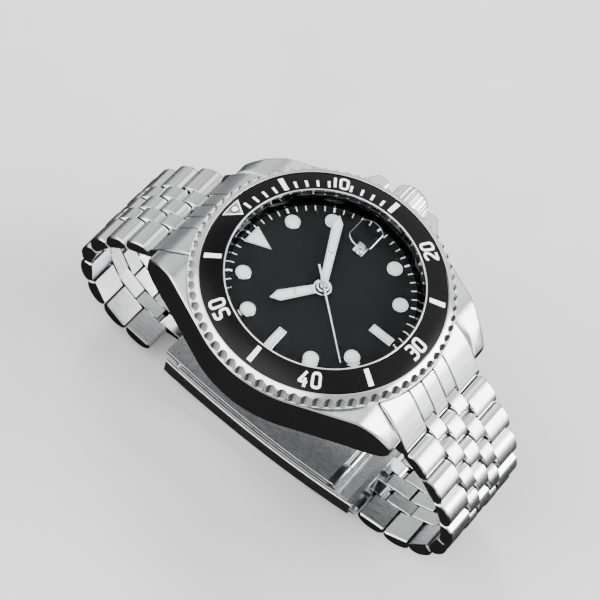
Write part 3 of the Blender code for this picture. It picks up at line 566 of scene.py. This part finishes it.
# -------------------- bezel
def insert_z(radius):
    (outer_r, outer_z), (inner_r, inner_z) = INSERT_OUT, INSERT_IN
    return outer_z + (inner_z - outer_z) * (outer_r - radius) / (outer_r - inner_r)


def on_insert(point, height):
    """A point of the insert from (distance clockwise from 12 o'clock at MARK_R, radius)."""
    angle, radius = point[0] / MARK_R, point[1]
    return (radius * sin(angle), radius * cos(angle), insert_z(radius) + height)


def make_bezel_ring():
    """Polished ring; upright round cutters leave a row of scoops that stop on a ledge at the bottom rim."""
    shape = Shape()
    pitch = 2 * pi / SCALLOPS

    def ring(radius, height, edge, cut=False):
        inside = [-edge * cos(pi * k / 12) for k in range(13)]
        margin = 0.5 * pitch * radius
        points = []
        for scoop in range(SCALLOPS):
            for u in [-margin, -(margin + edge) / 2] + inside + [(margin + edge) / 2]:
                angle = scoop * pitch + u / radius
                r = radius
                if cut and abs(u) <= edge:
                    r = min(radius, SCOOP_AT - sqrt(max(SCOOP_R ** 2 - u * u, 0)))
                points.append((r * cos(angle), r * sin(angle), height))
        return points

    rim = [ring(r, z, SCOOP_R) for r, z in BEZEL_RIM]
    scooped, plain = [], []
    for r, z in spaced(rounded(BEZEL_WALL, 0.22, closed=False), 30):
        reach = SCOOP_R ** 2 - (SCOOP_AT - r) ** 2
        if reach > 0.02 ** 2:
            scooped.append(ring(r, z, sqrt(reach), cut=True))
        else:
            plain.append(ring(r, z, 0.02))
    inner = rounded([(20.2, 11.62), (20.08, 11.62), (20.06, 10.85)], 0.06, closed=False)[1:]
    plain += [ring(r, z, 0.03) for r, z in inner + [(BEZEL_BORE_R, 11.6), (BEZEL_BORE_R, BEZEL_BOTTOM)]]
    shape.grid(rim + scooped[:1])
    # The scoop walls take the near-black steel: painted shade inside the scoops; the ledge and lands stay
    # polished
    shape.grid(scooped, kinds=([0, 0] + [1] * 12 + [0, 0]) * SCALLOPS)
    shape.grid(scooped[-1:] + plain + rim[:1])
    shape.piece("bezel_scalloped_ring", "bezel", "polished_steel", ["polished", "painted_shade"], ["bezel_ring"])


def make_bezel_insert():
    (outer_r, outer_z), (inner_r, inner_z) = INSERT_OUT, INSERT_IN
    profile = [INSERT_OUT, INSERT_IN, (inner_r, inner_z - INSERT_THICK), (outer_r, outer_z - INSERT_THICK)]
    shape = Shape()
    shape.turned(rounded(profile, 0.08), 288)
    shape.piece("bezel_black_insert", "bezel", "black_insert", ["insert"], ["bezel_insert"])


# Each numeral, its digits' places in minutes, and -1 where its top points to the centre
NUMERALS = (("10", (9.53, 10.32), 1), ("50", (49.45, 50.44), 1), ("20", (20.5, 19.55), -1),
            ("30", (30.45, 29.48), -1), ("40", (40.52, 39.43), -1))


def make_insert_marks():
    """Bars, ticks, triangle and the numerals 10 to 50, raised a hair above the insert."""
    shape = Shape()
    high, low = 0.03, -0.2
    minute = 2 * pi * MARK_R / 60
    for m in range(60):
        if m % 10 == 5:
            shape.stroke([(m * minute, r) for r in (16.8, 19.5)], 0.82, on_insert, high, low)
        elif m % 5 and m < 15:
            shape.stroke([(m * minute, r) for r in (16.83, 18.22)], 0.42, on_insert, high, low)
    shape.strip([(-1.9, 19.5), (-0.05, 16.8)], [(1.8, 19.5), (-0.05, 16.8)], on_insert, high, low, across=8)
    shape.kind = 1
    shape.strip([(-1.58, 19.36), (-0.05, 17.2)], [(1.48, 19.36), (-0.05, 17.2)], on_insert,
                0.045, low, across=8)
    shape.kind = 0
    for text, centres, sign in NUMERALS:
        for digit, centre in zip(text, centres):
            def place(point, height):
                return on_insert((centre * minute + sign * point[0], MARK_R + sign * point[1]), height)
            write_digit(shape, digit, (1.62, 2.6), 0.43, place, high, low)
    shape.piece("bezel_insert_marks", "bezel", "lume_white", ["print", "triangle"], sharp=40)


def make_pearl():
    slope = (INSERT_IN[1] - INSERT_OUT[1]) / (INSERT_OUT[0] - INSERT_IN[0])
    tilt = Matrix.Rotation(-atan2(slope, 1), 4, "X")
    at = Matrix.Translation(Vector((0, PEARL_AT, insert_z(PEARL_AT))) * MM) @ tilt
    cup = Shape()
    # The cup is near-black steel: painted shade round the pearl
    cup.turned(rounded([(0.56, -0.1), (0.74, -0.1), (0.72, 0.16), (0.6, 0.2), (0.56, 0.05)], 0.04), 48)
    cup.piece("pearl_cup", "bezel", "polished_steel", ["painted_shade"], matrix=at)
    dome = Shape()
    curve = [(0.56 * cos(pi * k / 16), 0.08 + 0.3 * sin(pi * k / 16)) for k in range(8)]
    dome.turned([(0.01, -0.1), (0.56, -0.1), *curve, (0.01, 0.38)], 48)
    dome.piece("pearl_dome", "bezel", "lume_white", ["pearl"], ["bezel_pearl"], matrix=at)


# -------------------- crystal and dial
def make_crystal():
    shape = Shape()
    profile = [(0.01, CRYSTAL_LOW), (CRYSTAL_R, CRYSTAL_LOW), (CRYSTAL_R, CRYSTAL_TOP - 0.4),
               (CRYSTAL_R - 0.4, CRYSTAL_TOP), (0.01, CRYSTAL_TOP)]
    shape.turned(rounded(profile, 0.05, closed=False), 240)
    shape.piece("crystal_disc", "head", "crystal_glass", ["glass"], ["crystal"])
    lip = Shape()
    lip.turned(rounded(box(16.08, 16.36, 11.0, 12.62), 0.1), 240)
    lip.piece("case_neck_lip", "head", "polished_steel", ["polished"])


def make_lens():
    """Round lens cut flat along two sides, with a bright bevel and a domed top."""
    outline = [(x, max(-LENS_HALF_WIDTH, min(LENS_HALF_WIDTH, y))) for x, y in circle(LENS_R, 120)]
    base = CRYSTAL_TOP + 0.02
    levels = [(1.0, 0.0), (1.0, 0.22), (0.965, 0.28)]
    levels += [(0.965 * cos(pi * k / 20), 0.28 + 0.34 * sin(pi * k / 20)) for k in range(1, 10)]
    rings = [[(DATE_R + scale * x, scale * y, base + height) for x, y in outline]
             for scale, height in levels]
    shape = Shape()
    shape.grid(rings[:2])
    shape.grid(rings[2:])
    shape.cap(rings[0])
    shape.cap(rings[-1])
    shape.kind = 1
    shape.grid(rings[1:3])
    shape.piece("date_lens", "head", "crystal_glass", ["lens", "lens_edge"], ["date_magnifier"], sharp=25)


def make_rehaut():
    shape = Shape()
    profile = [(15.45, DIAL_TOP + 0.1), (16.2, DIAL_TOP + 0.1), (16.2, 10.25), (15.98, 10.25)]
    shape.turned(rounded(profile, 0.05), 240)
    shape.piece("rehaut_black_ring", "head", "black_dial", ["rehaut"], ["rehaut_ring"])


def marker_outline(hour):
    if hour == 0:
        return [(1.9, 14.6), (-1.9, 14.6), (0, 10.3)]
    if hour in (6, 9):
        return box(-0.75, 0.75, BAR_AT - 2.1, BAR_AT + 2.1)
    return circle(1.3, 48, (0, DOT_AT))


def on_dial(point, height):
    angle, radius = point[0] / TRACK_R, point[1]
    return (radius * sin(angle), radius * cos(angle), DIAL_TOP + height)


def make_dial():
    plate = Shape()
    window = rounded(box(DATE_R - 1.25, DATE_R + 1.25, -1, 1), 0.1)
    outlines = (circle(DIAL_R, 240), window, circle(1.15, 32))
    low, high = ([along_z(line, z) for line in outlines] for z in (DIAL_TOP - DIAL_THICK, DIAL_TOP))
    for edges in zip(low, high):
        plate.grid(edges)
    plate.cap(*high)
    plate.cap(*low)
    plate.piece("dial_plate", "head", "black_dial", ["dial"], ["dial"])
    track = Shape()
    for m in range(60):
        u = m * 2 * pi * TRACK_R / 60
        track.stroke([(u, r) for r in (14.5, 15.35)], 0.3 if m % 5 == 0 else 0.13, on_dial, 0.02, -0.05)
    track.piece("dial_minute_track", "head", "lume_white", ["print"])
    rims, lume = Shape(), Shape()
    for hour in range(12):
        if hour == 3:
            continue
        outline = turned_to(marker_outline(hour), 30 * hour)
        rims.kind = 0
        rims.slab(outline, DIAL_TOP - 0.05, DIAL_TOP + 0.24, 0.05)
        # A near-black slab just wider than the lume: painted shade line between the frame and the lume
        rims.kind = 1
        rims.slab(inset(outline, 0.17), DIAL_TOP, DIAL_TOP + 0.25, 0.01)
        lume.slab(inset(outline, 0.24), DIAL_TOP, DIAL_TOP + 0.27, 0.02)
    rims.piece("hour_marker_frames", "head", "hand_steel", ["polished", "painted_shade"])
    lume.piece("hour_marker_lume", "head", "lume_white", ["lume"])


def make_date():
    disc = Shape()
    disc.turned(box(DATE_R - 1.6, DATE_R + 1.6, 7.42, DATE_TOP), 186)
    disc.piece("date_disc", "calendar", "white_enamel", ["enamel"], ["date_ring"])
    numerals = Shape()
    for day in range(1, 32):
        turn = Matrix.Rotation(2 * pi * (day - DATE_SHOWN) / 31, 3, "Z")
        for i, digit in enumerate(str(day)):
            shift = (i - (len(str(day)) - 1) / 2) * 0.85

            def place(point, height):
                return tuple(turn @ Vector((DATE_R + point[0] + shift, point[1], DATE_TOP + height)))
            write_digit(numerals, digit, (0.7, 1.25), 0.16, place, 0.015, -0.05)
    numerals.piece("date_numerals", "calendar", "black_dial", ["dial"])


def make_hand(label, body, node, clockwise, low, high, blade, hub):
    """Polished pencil hand with two windows of lume.

    blade is (base, shoulder, half widths at both, tip, cross bar); hub is (outer, inner, pipe) radii.
    """
    hub_r, cap_r, pipe_r = hub
    base, shoulder, narrow, wide, tip, bar = blade
    metal, lume = Shape(), Shape()
    outline = [(narrow, base), (wide, shoulder), (0, tip), (-wide, shoulder), (-narrow, base)]
    metal.slab(turned_to(outline, clockwise), low, high, 0.05)
    metal.turned(rounded(box(cap_r, hub_r, low, high + 0.02), 0.05), 64)
    # A near-black ring low in the hub: painted shade in the hub's groove
    metal.kind = 1
    metal.turned(box(pipe_r, cap_r, low + 0.01, low + 0.05), 64)
    split = narrow + (wide - narrow) * (bar - base) / (shoulder - base)
    start, gap, rim = hub_r + 0.25, 0.09, 0.2
    first = [(narrow - rim, start), (split - rim, bar - gap), (rim - split, bar - gap),
             (rim - narrow, start)]
    second = [(split - rim, bar + gap), (wide - rim, shoulder - 0.04), (0, tip - 0.32),
              (rim - wide, shoulder - 0.04), (rim - split, bar + gap)]
    for window in (first, second):
        painted_shade_outline = turned_to(window, clockwise)
        # Near-black slab round each lume window: painted shade line at the lume's edge
        metal.slab(painted_shade_outline, low + 0.04, high + 0.01, 0.005)
        lume.slab(inset(painted_shade_outline, 0.06), low + 0.04, high + 0.03, 0.015)
    metal.piece(label + "_hand_frame", body, "hand_steel", ["polished", "painted_shade"], [node])
    lume.piece(label + "_hand_lume", body, "lume_white", ["lume"])


def make_hands():
    make_hand("hour", "hours_train", "hour_hand", HOUR_ANGLE, 8.98, 9.16,
              (1.25, 7.3, 0.8, 1.0, 8.9, 4.6), (1.5, 1.2, 0.95))
    make_hand("minute", "minutes_train", "minute_hand", MINUTE_ANGLE, 9.5, 9.66,
              (0.8, 12.0, 0.68, 0.9, 13.6, 6.3), (1.08, 0.75, 0.45))
    shape = Shape()
    side = [(0.17, -3.7), (0.13, -1.0), (0.15, 0.4), (0.09, 14.0)]
    needle = side + [(-u, v) for u, v in reversed(side)]
    shape.slab(turned_to(needle, SECONDS_ANGLE), 10.0, 10.1, 0.03)
    shape.turned(rounded([(0.01, 9.98), (0.62, 9.98), (0.62, 10.16), (0.44, 10.2), (0.42, 10.1), (0.3, 10.1),
                          (0.28, 10.27), (0.01, 10.3)], 0.03, closed=False), 48)
    shape.piece("seconds_needle", "seconds_train", "hand_steel", ["polished"], ["seconds_hand"])


# -------------------- case and crown
def lug_curve():
    """Height of the case's top along y: flat in the middle, falling smoothly to the lug tips."""
    return spaced(rounded([(0, CASE_TOP), *LUG_PROFILE], 1.0, closed=False), 160)


def flipped(outline):
    """An outline on the other side of the x axis, in reverse order."""
    return [(x, -y) for x, y in reversed(outline)]


def case_outline():
    """Plan of the case, counterclockwise: lugs, round flanks and the crown guards."""
    tangent = (CASE_R * cos(LUG_ANGLE), CASE_R * sin(LUG_ANGLE))
    tip_x = tangent[0] - (LUG_TIP_Y - tangent[1]) * sin(LUG_ANGLE) / cos(LUG_ANGLE)
    inner_x = LUG_WIDTH / 2
    wall_angle = atan2(sqrt(WALL_R ** 2 - inner_x ** 2), inner_x)
    wall = [(WALL_R * cos(a), WALL_R * sin(a)) for a in
            (wall_angle + (pi - 2 * wall_angle) * k / 40 for k in range(41))]
    lug = spaced([(tip_x, LUG_TIP_Y - 0.5), tangent], 20)
    tip = [(inner_x, 22.0), (inner_x, LUG_TIP_Y), (tip_x - 0.4, LUG_TIP_Y), (tip_x, LUG_TIP_Y - 0.5),
           (tip_x + 0.4, LUG_TIP_Y - 1.4)]
    right = rounded(tip, 0.35, closed=False)[1:-1] + lug[1:]
    guard = rounded([(19.95, 8.3), *GUARD, (21.2, 3.75)], 0.6, closed=False, steps=6)
    side = right + guard + arc(CASE_R, (8, 6, 4, 2, 0))
    flank = arc(CASE_R, range(157, 204, 2))
    left = [(-x, y) for x, y in right]
    return (side[::-1] + wall + left + flank[1:-1] + flipped(left) + flipped(wall)
            + [(x, -y) for x, y in side[:-1]])


def case_sheet(shape, outline, hole, height, inward):
    """A face of the case in plan, cut finely so that it can follow height(x, y)."""
    corners = [Vector(p) for p in (*outline, *hole)]
    edges = [(i, (i + 1) % len(outline)) for i in range(len(outline))]
    start = len(outline)
    edges += [(start + i, start + (i + 1) % len(hole)) for i in range(len(hole))]
    corners += [Vector(p) for r in (20.4, 21.1, 22.0, 22.9, 23.8, 24.7, 25.6)
                for p in circle(r, 240) if inward(*p)]
    points, _, faces, _, _, _ = delaunay_2d_cdt(corners, edges, [], 1, 1e-4)
    for face in faces:
        middle = sum((points[i] for i in face), Vector((0, 0))) / len(face)
        if middle.length > hypot(*hole[0]) * 0.999:
            shape.face([(points[i].x, points[i].y, height(points[i].y)) for i in face])


def make_case():
    curve = lug_curve()
    under = [(0, CASE_BOTTOM), (18.8, CASE_BOTTOM), (19.6, 0.9), (22.5, 0.9), (23.9, 1.2), (24.6, 2.0),
             (24.9, 2.6)]

    def top(y):
        return between(curve, abs(y))

    def bottom(y):
        return between(under, abs(y))

    outline = case_outline()
    rim = inset(outline, CASE_CHAMFER)
    margin = inset(outline, 0.5)

    def inside(x, y):
        return hypot(x, y) > 19.6 and is_inside((x, y), margin)

    shape = Shape()
    case_sheet(shape, rim, circle(19.2, 160), top, inside)
    shape.kind = 1
    case_sheet(shape, rim, circle(17.9, 160), bottom, inside)
    shape.grid([[(x, y, top(y)) for x, y in rim], [(x, y, top(y) - CASE_CHAMFER) for x, y in outline],
                [(x, y, bottom(y) + CASE_CHAMFER) for x, y in outline], [(x, y, bottom(y)) for x, y in rim]])
    bore = [(19.2, CASE_TOP), (NECK_R, CASE_TOP), (NECK_R, 11.6), (16.5, 11.6), (16.5, 10.3), (16.3, 10.3),
            (16.3, 8.0), (15.8, 8.0), (15.8, 2.6), (17.15, 2.6), (17.15, 1.9), (17.9, 1.9),
            (17.9, CASE_BOTTOM)]
    shape.grid([along_z(circle(r, 160), z) for r, z in bore])
    shape.piece("case_body", "head", "brushed_steel", ["brushed_around", "polished"], ["mid_case"], sharp=32)


def is_inside(point, outline):
    x, y = point
    crossings = 0
    for (x0, y0), (x1, y1) in zip(outline, outline[1:] + outline[:1]):
        if (y0 > y) != (y1 > y) and x < x0 + (x1 - x0) * (y - y0) / (y1 - y0):
            crossings += 1
    return crossings % 2 == 1


def make_case_back():
    """Screwed back with key slots round its rim and a plain raised centre."""
    shape = Shape()
    profile = [(0.01, 0.0), (15.2, 0.0), (15.5, 0.25), (15.9, 0.25), (16.2, 0.0), (17.9, 0.0), (18.6, 0.6),
               (18.6, 1.0), (17.0, 1.0), (17.0, 2.4), (16.1, 2.4), (16.1, 1.0), (0.01, 1.0)]
    rings = [along_z(circle(r, 216), z) for r, z in profile]
    cut = circle(17.0, 216)
    for k in range(216):
        if k % 36 in (0, 1, 2):
            rings[5][k] = (*cut[k], 0.0)
    shape.grid(rings + rings[:1])
    shape.piece("case_back_plate", "head", "case_back_steel", ["brushed_around"], ["case_back"], sharp=25)


def about_x(r, a, h):
    return (h, r * cos(a), CROWN_Z + r * sin(a))


def make_crown():
    """Wide rounded flutes with narrow grooves, and a smooth domed end."""
    shape = Shape()
    count = 16 * FLUTES
    rings = []
    for r, x in spaced(rounded(CROWN_SHAPE, 0.25, closed=False), 60):
        depth = 0.32 * min(1.0, max(0.0, r - 2.75) / 0.35)
        ring = []
        for i in range(count):
            groove = abs(cos(pi * FLUTES * i / count)) ** 7
            ring.append(about_x(r - depth * groove, 2 * pi * i / count, x))
        rings.append(ring)
    rings += [[about_x(r, 2 * pi * i / count, x) for i in range(count)]
              for r, x in ((0.01, 25.1), (0.6, 25.1), (0.6, 23.7), (1.5, 23.7))]
    shape.grid(rings + rings[:1])
    shape.piece("crown_fluted", "crown_and_stem", "polished_steel", ["satin"], ["crown"])


# -------------------- bracelet
def columns(width):
    """The five columns of a row as (low x, high x, is an outer or centre link)."""
    centre, outer = (width * split for split in COLUMN_SPLITS)
    half = COLUMN_GAP / 2
    return [(-width / 2, -outer - half, True), (-outer + half, -centre - half, False),
            (-centre + half, centre - half, True), (centre + half, outer - half, False),
            (outer + half, width / 2, True)]


def link_section():
    """Section of a link in (s, n), clockwise from the underside, with two facets and a brushed dome."""
    dome = [(2.45, 1.26), (3.3, 1.43), (4.5, 1.42), (5.5, 1.16), (6.25, 0.7), (6.66, 0.15), (6.76, -0.4)]
    return [(1.42, -1.1), (1.42, 0.4), (1.55, 0.5), (2.0, 1.0), *rounded(dome, 0.5, closed=False, steps=3),
            (6.2, -1.15)]


def hinge_points():
    points = [END_HINGE]
    for heading in HEADINGS:
        y, z = points[-1]
        points.append((y + PITCH * cos(radians(heading)), z - PITCH * sin(radians(heading))))
    return points


def link_kinds(section, mirrored):
    """Brushed dome and underside; the start of the link and its facets are polished."""
    kinds = []
    for i, (s, _) in enumerate(section):
        middle = (s + section[(i + 1) % len(section)][0]) / 2
        along = PITCH - middle if mirrored else middle
        kinds.append(1 if along < 2.4 else 0)
    return kinds


def row_shape(width):
    shape = Shape()
    link = link_section()[::-1]
    mid = [(PITCH - s, n) for s, n in reversed(link)]
    for low, high, is_outer in columns(width):
        section = link if is_outer else mid
        bevels = [0.22 if abs(x) > 0.49 * width else 0.08 for x in (low, high)]
        shape.slab(section, low, high, bevels[0], along_x, link_kinds(section, not is_outer), 1, bevels[1])
    shape.kind = 1
    reach = width / 2 - 1.2
    shape.slab(box(PITCH / 2 - 0.6, PITCH / 2 + 0.6, -0.6, 0.6), -reach, reach, 0.0, along_x)
    shape.slab(circle(0.4, 16), -reach, reach, 0.0, along_x)
    return shape


def make_rows():
    for label, turn, sign in (("12", 0, 1), ("6", pi, -1)):
        for i, heading in enumerate(HEADINGS):
            y, z = hinge_points()[i]
            place = Matrix.Translation(Vector((0, sign * y, z)) * MM) @ Matrix.Rotation(turn, 4, "Z")
            place = place @ Matrix.Rotation(-radians(heading), 4, "X")
            node = f"link_row_{label}_{i + 1}"
            shape = row_shape(ROW_WIDTH - ROW_TAPER * i)
            shape.piece(f"row_{label}_{i + 1}_links", "body_" + node, *LINK_STEEL, [node], matrix=place)


def make_end_links():
    """Five-column end links with engraved lines, cut round to the case."""
    curve = lug_curve()
    rear = [(24.8, 4.15), (25.6, 3.0), *arc(KNUCKLE_R, (50, 25, 0, -25, -50, -75, -90), END_HINGE)]
    notch = [(24.8, 4.15), (25.45, 3.2), (25.4, 2.75), *arc(1.42, (100, 120, 140, 160, 180), END_HINGE),
             (END_HINGE[0] - 1.42, 0.4)]
    core = box(22.2, 23.8, 1.6, 4.0)
    bevel = 0.13
    for label, sign in (("12", 1), ("6", -1)):
        shape = Shape()
        for low, high, is_outer in columns(LUG_WIDTH - 0.2):
            rings = []
            inner = [low + (high - low) * k / 8 for k in range(1, 8)]
            stations = [low, low + bevel, *inner, high - bevel, high]
            for k, x in enumerate(stations):
                start = sqrt((WALL_R + 0.1) ** 2 - x * x) + 0.02
                places = [start + 0.12] + [start + (24.2 - start) * j / 12 for j in range(1, 13)]
                top = [(v, between(curve, v)) for v in places]
                section = [(start, between(curve, start) - 0.16), *top, *(rear if is_outer else notch),
                           (22.6, 0.5), (start + 0.05, 1.2)]
                if k in (0, len(stations) - 1):
                    section = inset(section[::-1], bevel)[::-1]
                rings.append([(x, sign * v, w) for v, w in section])
            kinds = [1] + [0] * (len(top) + 1) + [1] * len(rings[0])
            shape.grid(rings[1:-1], kinds=kinds[:len(rings[0])])
            shape.kind = 1
            shape.grid(rings[:2])
            shape.grid(rings[-2:])
            shape.cap(rings[0])
            shape.cap(rings[-1])
        shape.slab([(sign * v, w) for v, w in core[::sign]], -9.4, 9.4, 0.0, along_x)
        shape.piece(f"end_link_{label}_body", "head", *LINK_STEEL, ["end_link_" + label], sharp=28)
        bar = Shape()
        for radius, reach, edge in ((0.7, 9.7, 0.15), (0.42, 11.3, 0.1)):
            at = (sign * SPRING_BAR_AT[0], SPRING_BAR_AT[1])
            bar.slab(circle(radius, 24, at), -reach, reach, edge, along_x)
        bar.piece(f"spring_bar_{label}_steel", "head", "polished_steel", ["polished"],
                  ["spring_bar_" + label])


# -------------------- clasp
def clasp_z(y, offset):
    return CLASP_LOW + y * y / (2 * CLASP_CURVE_R) + offset


def clasp_loft(shape, section, y0, y1, steps=14):
    """Carry an (x, height) section along the curve of the clasp."""
    stations = [y0 + (y1 - y0) * k / steps for k in range(steps + 1)]
    shape.loft([[(x, y, clasp_z(y, h)) for x, h in section] for y in stations])


def arm_columns():
    """The two columns of the last row that the clasp's arms reach into, as (low x, high x)."""
    return [columns(ROW_WIDTH - ROW_TAPER * 8)[k][:2] for k in (1, 3)]


def make_clasp_cover():
    """Curved tray with side walls; arms for the last row reach out beyond its closed end."""
    half, wall, high = COVER_HALF, PLATE_THICK, COVER_HIGH
    shape = Shape()
    tray = [(-half, high), (-half, 0), (half, 0), (half, high), (half - wall, high), (half - wall, wall),
            (wall - half, wall), (wall - half, high)]
    clasp_loft(shape, rounded(tray, 0.35), -20.4, 16.6)
    clasp_loft(shape, rounded(box(-half, half, 0, high), 0.35), COVER_END, -20.35, 2)
    for low in (-half, half - wall):
        clasp_loft(shape, rounded(box(low, low + wall, 0, high), 0.25), 16.55, 19.0, 3)
    hinge_y, hinge_z = hinge_points()[-1]
    arm = rounded([(3.2 - hinge_y, hinge_z - 0.9), (3.2 - hinge_y, hinge_z + 0.9), (-hinge_y, hinge_z + 1.0),
                   (-hinge_y - 1.1, hinge_z), (-hinge_y, hinge_z - 1.0)], 0.5)
    shape.kind = 1
    for low, high in arm_columns():
        shape.slab(arm[::-1], low, high, 0.06, along_x)
    shape.piece("clasp_cover_shell", "clasp", *LINK_STEEL, ["clasp_cover"])


def make_clasp_latch():
    """Flat latch under the cover, with two lips that hook round the cover's end."""
    shape = Shape()
    clasp_loft(shape, rounded(box(-8, 8, -0.75, -0.12), 0.18), -22.25, -12.5, 8)
    corners = ((-21.6, 1.0), (-22.3, 1.0), (-22.3, -0.6), (-21.6, -0.7))
    lip = [(v, clasp_z(COVER_END, h)) for v, h in corners]
    shape.kind = 1
    for low in (-7.4, 4.6):
        shape.slab(lip, low, low + 2.8, 0.08, along_x)
    shape.piece("clasp_latch_plate", "clasp_lock", *LINK_STEEL, ["clasp_latch"])


def rod(shape, radius, x0, x1, at):
    """A round pin or barrel along x."""
    shape.slab(circle(radius, 32, at), x0, x1, 0.06, along_x)


def make_clasp_blades():
    """Two curved blades that fold flat inside the cover, with their hinge barrels and pins."""
    half = BLADE_WIDTH / 2
    outer_y, inner_y = BLADE_HINGES
    outer_at = (outer_y, clasp_z(outer_y, 1.58))
    inner_at = (inner_y, clasp_z(inner_y, 1.95))
    outer, inner = Shape(), Shape()
    clasp_loft(outer, rounded(box(-half, half, 1.25, 1.95), 0.14), inner_y + 1.0, outer_y, 24)
    clasp_loft(inner, rounded(box(-half, half, 2.2, 2.9), 0.14), inner_y + 1.1, BLADE_END, 24)
    y, z = inner_at
    outer.kind = inner.kind = 1
    rod(outer, 0.52, -half, half, outer_at)
    rod(outer, 0.38, -8.5, 8.5, outer_at)
    rod(outer, 0.8, -2.4, 2.4, inner_at)
    web = [(y, z - 0.5), (y + 2.2, z - 0.65), (y + 2.2, z - 0.35), (y, z + 0.1)]
    outer.slab(web, -2.4, 2.4, 0.05, along_x)
    for low, high in ((-half, -2.6), (2.6, half)):
        rod(inner, 0.8, low, high, inner_at)
        clasp_loft(inner, rounded(box(low, high, 2.2, 2.9), 0.14), inner_y, inner_y + 1.15, 2)
    rod(inner, 0.36, 0.4 - half, half - 0.4, inner_at)
    end_y, end_z = hinge_points()[-1]
    root_y, root_z = BLADE_END - 1.6, clasp_z(BLADE_END - 1.6, 2.88)
    knob = ((-0.9, -0.85), (0.2, -0.95), (0.9, -0.3), (0.9, 0.3), (0.2, 0.95), (-0.9, 0.85))
    arm = [(root_y, root_z - 0.6), *((end_y + u, end_z + v) for u, v in knob), (root_y, root_z)]
    for low, high in arm_columns():
        inner.slab(rounded(arm, 0.3), low, high, 0.06, along_x)
    for shape, side in ((outer, "outer"), (inner, "inner")):
        shape.piece(side + "_blade_plate", "clasp_" + side, *LINK_STEEL, [f"clasp_{side}_blade"])


# -------------------- stage
DOME_STRENGTH = 0.8
# Soft areas of the sky: direction, cosine of the angle at the rim and at full strength, strength added
SKY_AREAS = (
    ((0.45, -0.75, 0.42), 0.85, 0.97, 13.0),
    ((0.47, -0.40, 0.79), 0.90, 0.98, 0.6),
    ((0.27, 0.60, 0.75), 0.975, 0.995, -0.6),
    ((0.9, 0.0, 0.4), 0.8, 0.97, 0.6),
    ((-0.45, 0.1, 0.89), 0.86, 0.98, 5.0),
    ((-0.25, 0.6, 0.75), 0.93, 0.985, 3.0),
    ((0.3, 0.95, 0.1), 0.6, 0.95, 0.4),
    ((0.472, 0.188, 0.862), 0.965, 0.99, 1.8),
    ((-0.7, 0.65, 0.3), 0.8, 0.96, 3.0),
)
# Lamps: name, place in metres, size, power
LAMPS = (("key", (0.30, 0.32, 0.50), 0.2, 3.0), ("fill", (-0.3, -0.35, 0.5), 0.4, 1.0))


def make_camera():
    data = bpy.data.cameras.new("camera")
    data.lens = CAMERA_LENS
    data.sensor_width = 36.0
    data.clip_start = 0.01
    camera = bpy.data.objects.new("camera", data)
    bpy.context.scene.collection.objects.link(camera)
    columns = Matrix((CAMERA_RIGHT, CAMERA_UP, CAMERA_BACK)).transposed().to_4x4()
    camera.matrix_world = Matrix.Translation(CAMERA_AT) @ columns
    bpy.context.scene.camera = camera


def make_floor():
    """Pale floor at the part's lowest point; in reflections it is dark close to the part."""
    mesh = bpy.data.meshes.new("floor")
    mesh.from_pydata(along_z(box(-3.0, 3.0, -3.0, 3.0), CAD_BOX[0][2]), [], [(0, 1, 2, 3)])
    floor = bpy.data.objects.new("floor", mesh)
    bpy.context.scene.collection.objects.link(floor)
    g = Graph("floor_pale")
    g.link(g.ramp(g.noise(g.place(), 0.02, 3.0), (0.50, 0.50, 0.505), (0.56, 0.56, 0.565)),
           g.shader.inputs["Base Color"])
    g.set(roughness=0.75)
    dim = g.node("ShaderNodeBsdfDiffuse")
    dim.inputs["Color"].default_value = (0.008, 0.008, 0.008, 1)
    far = g.node("ShaderNodeVectorMath", operation="LENGTH")
    g.link(g.node("ShaderNodeTexCoord").outputs["Object"], far.inputs[0])
    near = g.spread(far.outputs["Value"], 1.0, 0.0, 0.1, 0.4)
    is_glossy = g.node("ShaderNodeLightPath").outputs["Is Glossy Ray"]
    g.show(g.mix(g.math("MULTIPLY", near, is_glossy), g.shader, dim))
    mesh.materials.append(g.owner)


def make_world():
    """A soft studio: an even pale dome with broad bright and dim areas."""
    g = Graph("studio", bpy.data.worlds, "Background")
    bpy.context.scene.world = g.owner
    g.shader.inputs["Color"].default_value = (1, 1, 1, 1)
    coords = g.node("ShaderNodeTexCoord")
    total = DOME_STRENGTH
    for direction, start, end, strength in SKY_AREAS:
        dot = g.node("ShaderNodeVectorMath", operation="DOT_PRODUCT")
        dot.inputs[1].default_value = Vector(direction).normalized()
        g.link(coords.outputs["Generated"], dot.inputs[0])
        area = g.spread(dot.outputs["Value"], 0.0, strength, start, end, interpolation_type="SMOOTHSTEP")
        total = g.math("ADD", total, area)
    g.link(total, g.shader.inputs["Strength"])


def make_lamps():
    for name, at, size, power in LAMPS:
        data = bpy.data.lights.new(name, "AREA")
        data.size = size
        data.energy = power
        lamp = bpy.data.objects.new(name, data)
        bpy.context.scene.collection.objects.link(lamp)
        lamp.location = at
        lamp.rotation_mode = "QUATERNION"
        lamp.rotation_quaternion = Vector(at).to_track_quat("Z", "Y")
        lamp.visible_glossy = False
        lamp.visible_transmission = False


dress_cad_nodes()
make_bezel_ring()
make_bezel_insert()
make_insert_marks()
make_pearl()
make_crystal()
make_lens()
make_rehaut()
make_dial()
make_date()
make_hands()
make_case()
make_case_back()
make_crown()
make_rows()
make_end_links()
make_clasp_cover()
make_clasp_latch()
make_clasp_blades()
make_camera()
make_floor()
make_world()
make_lamps()
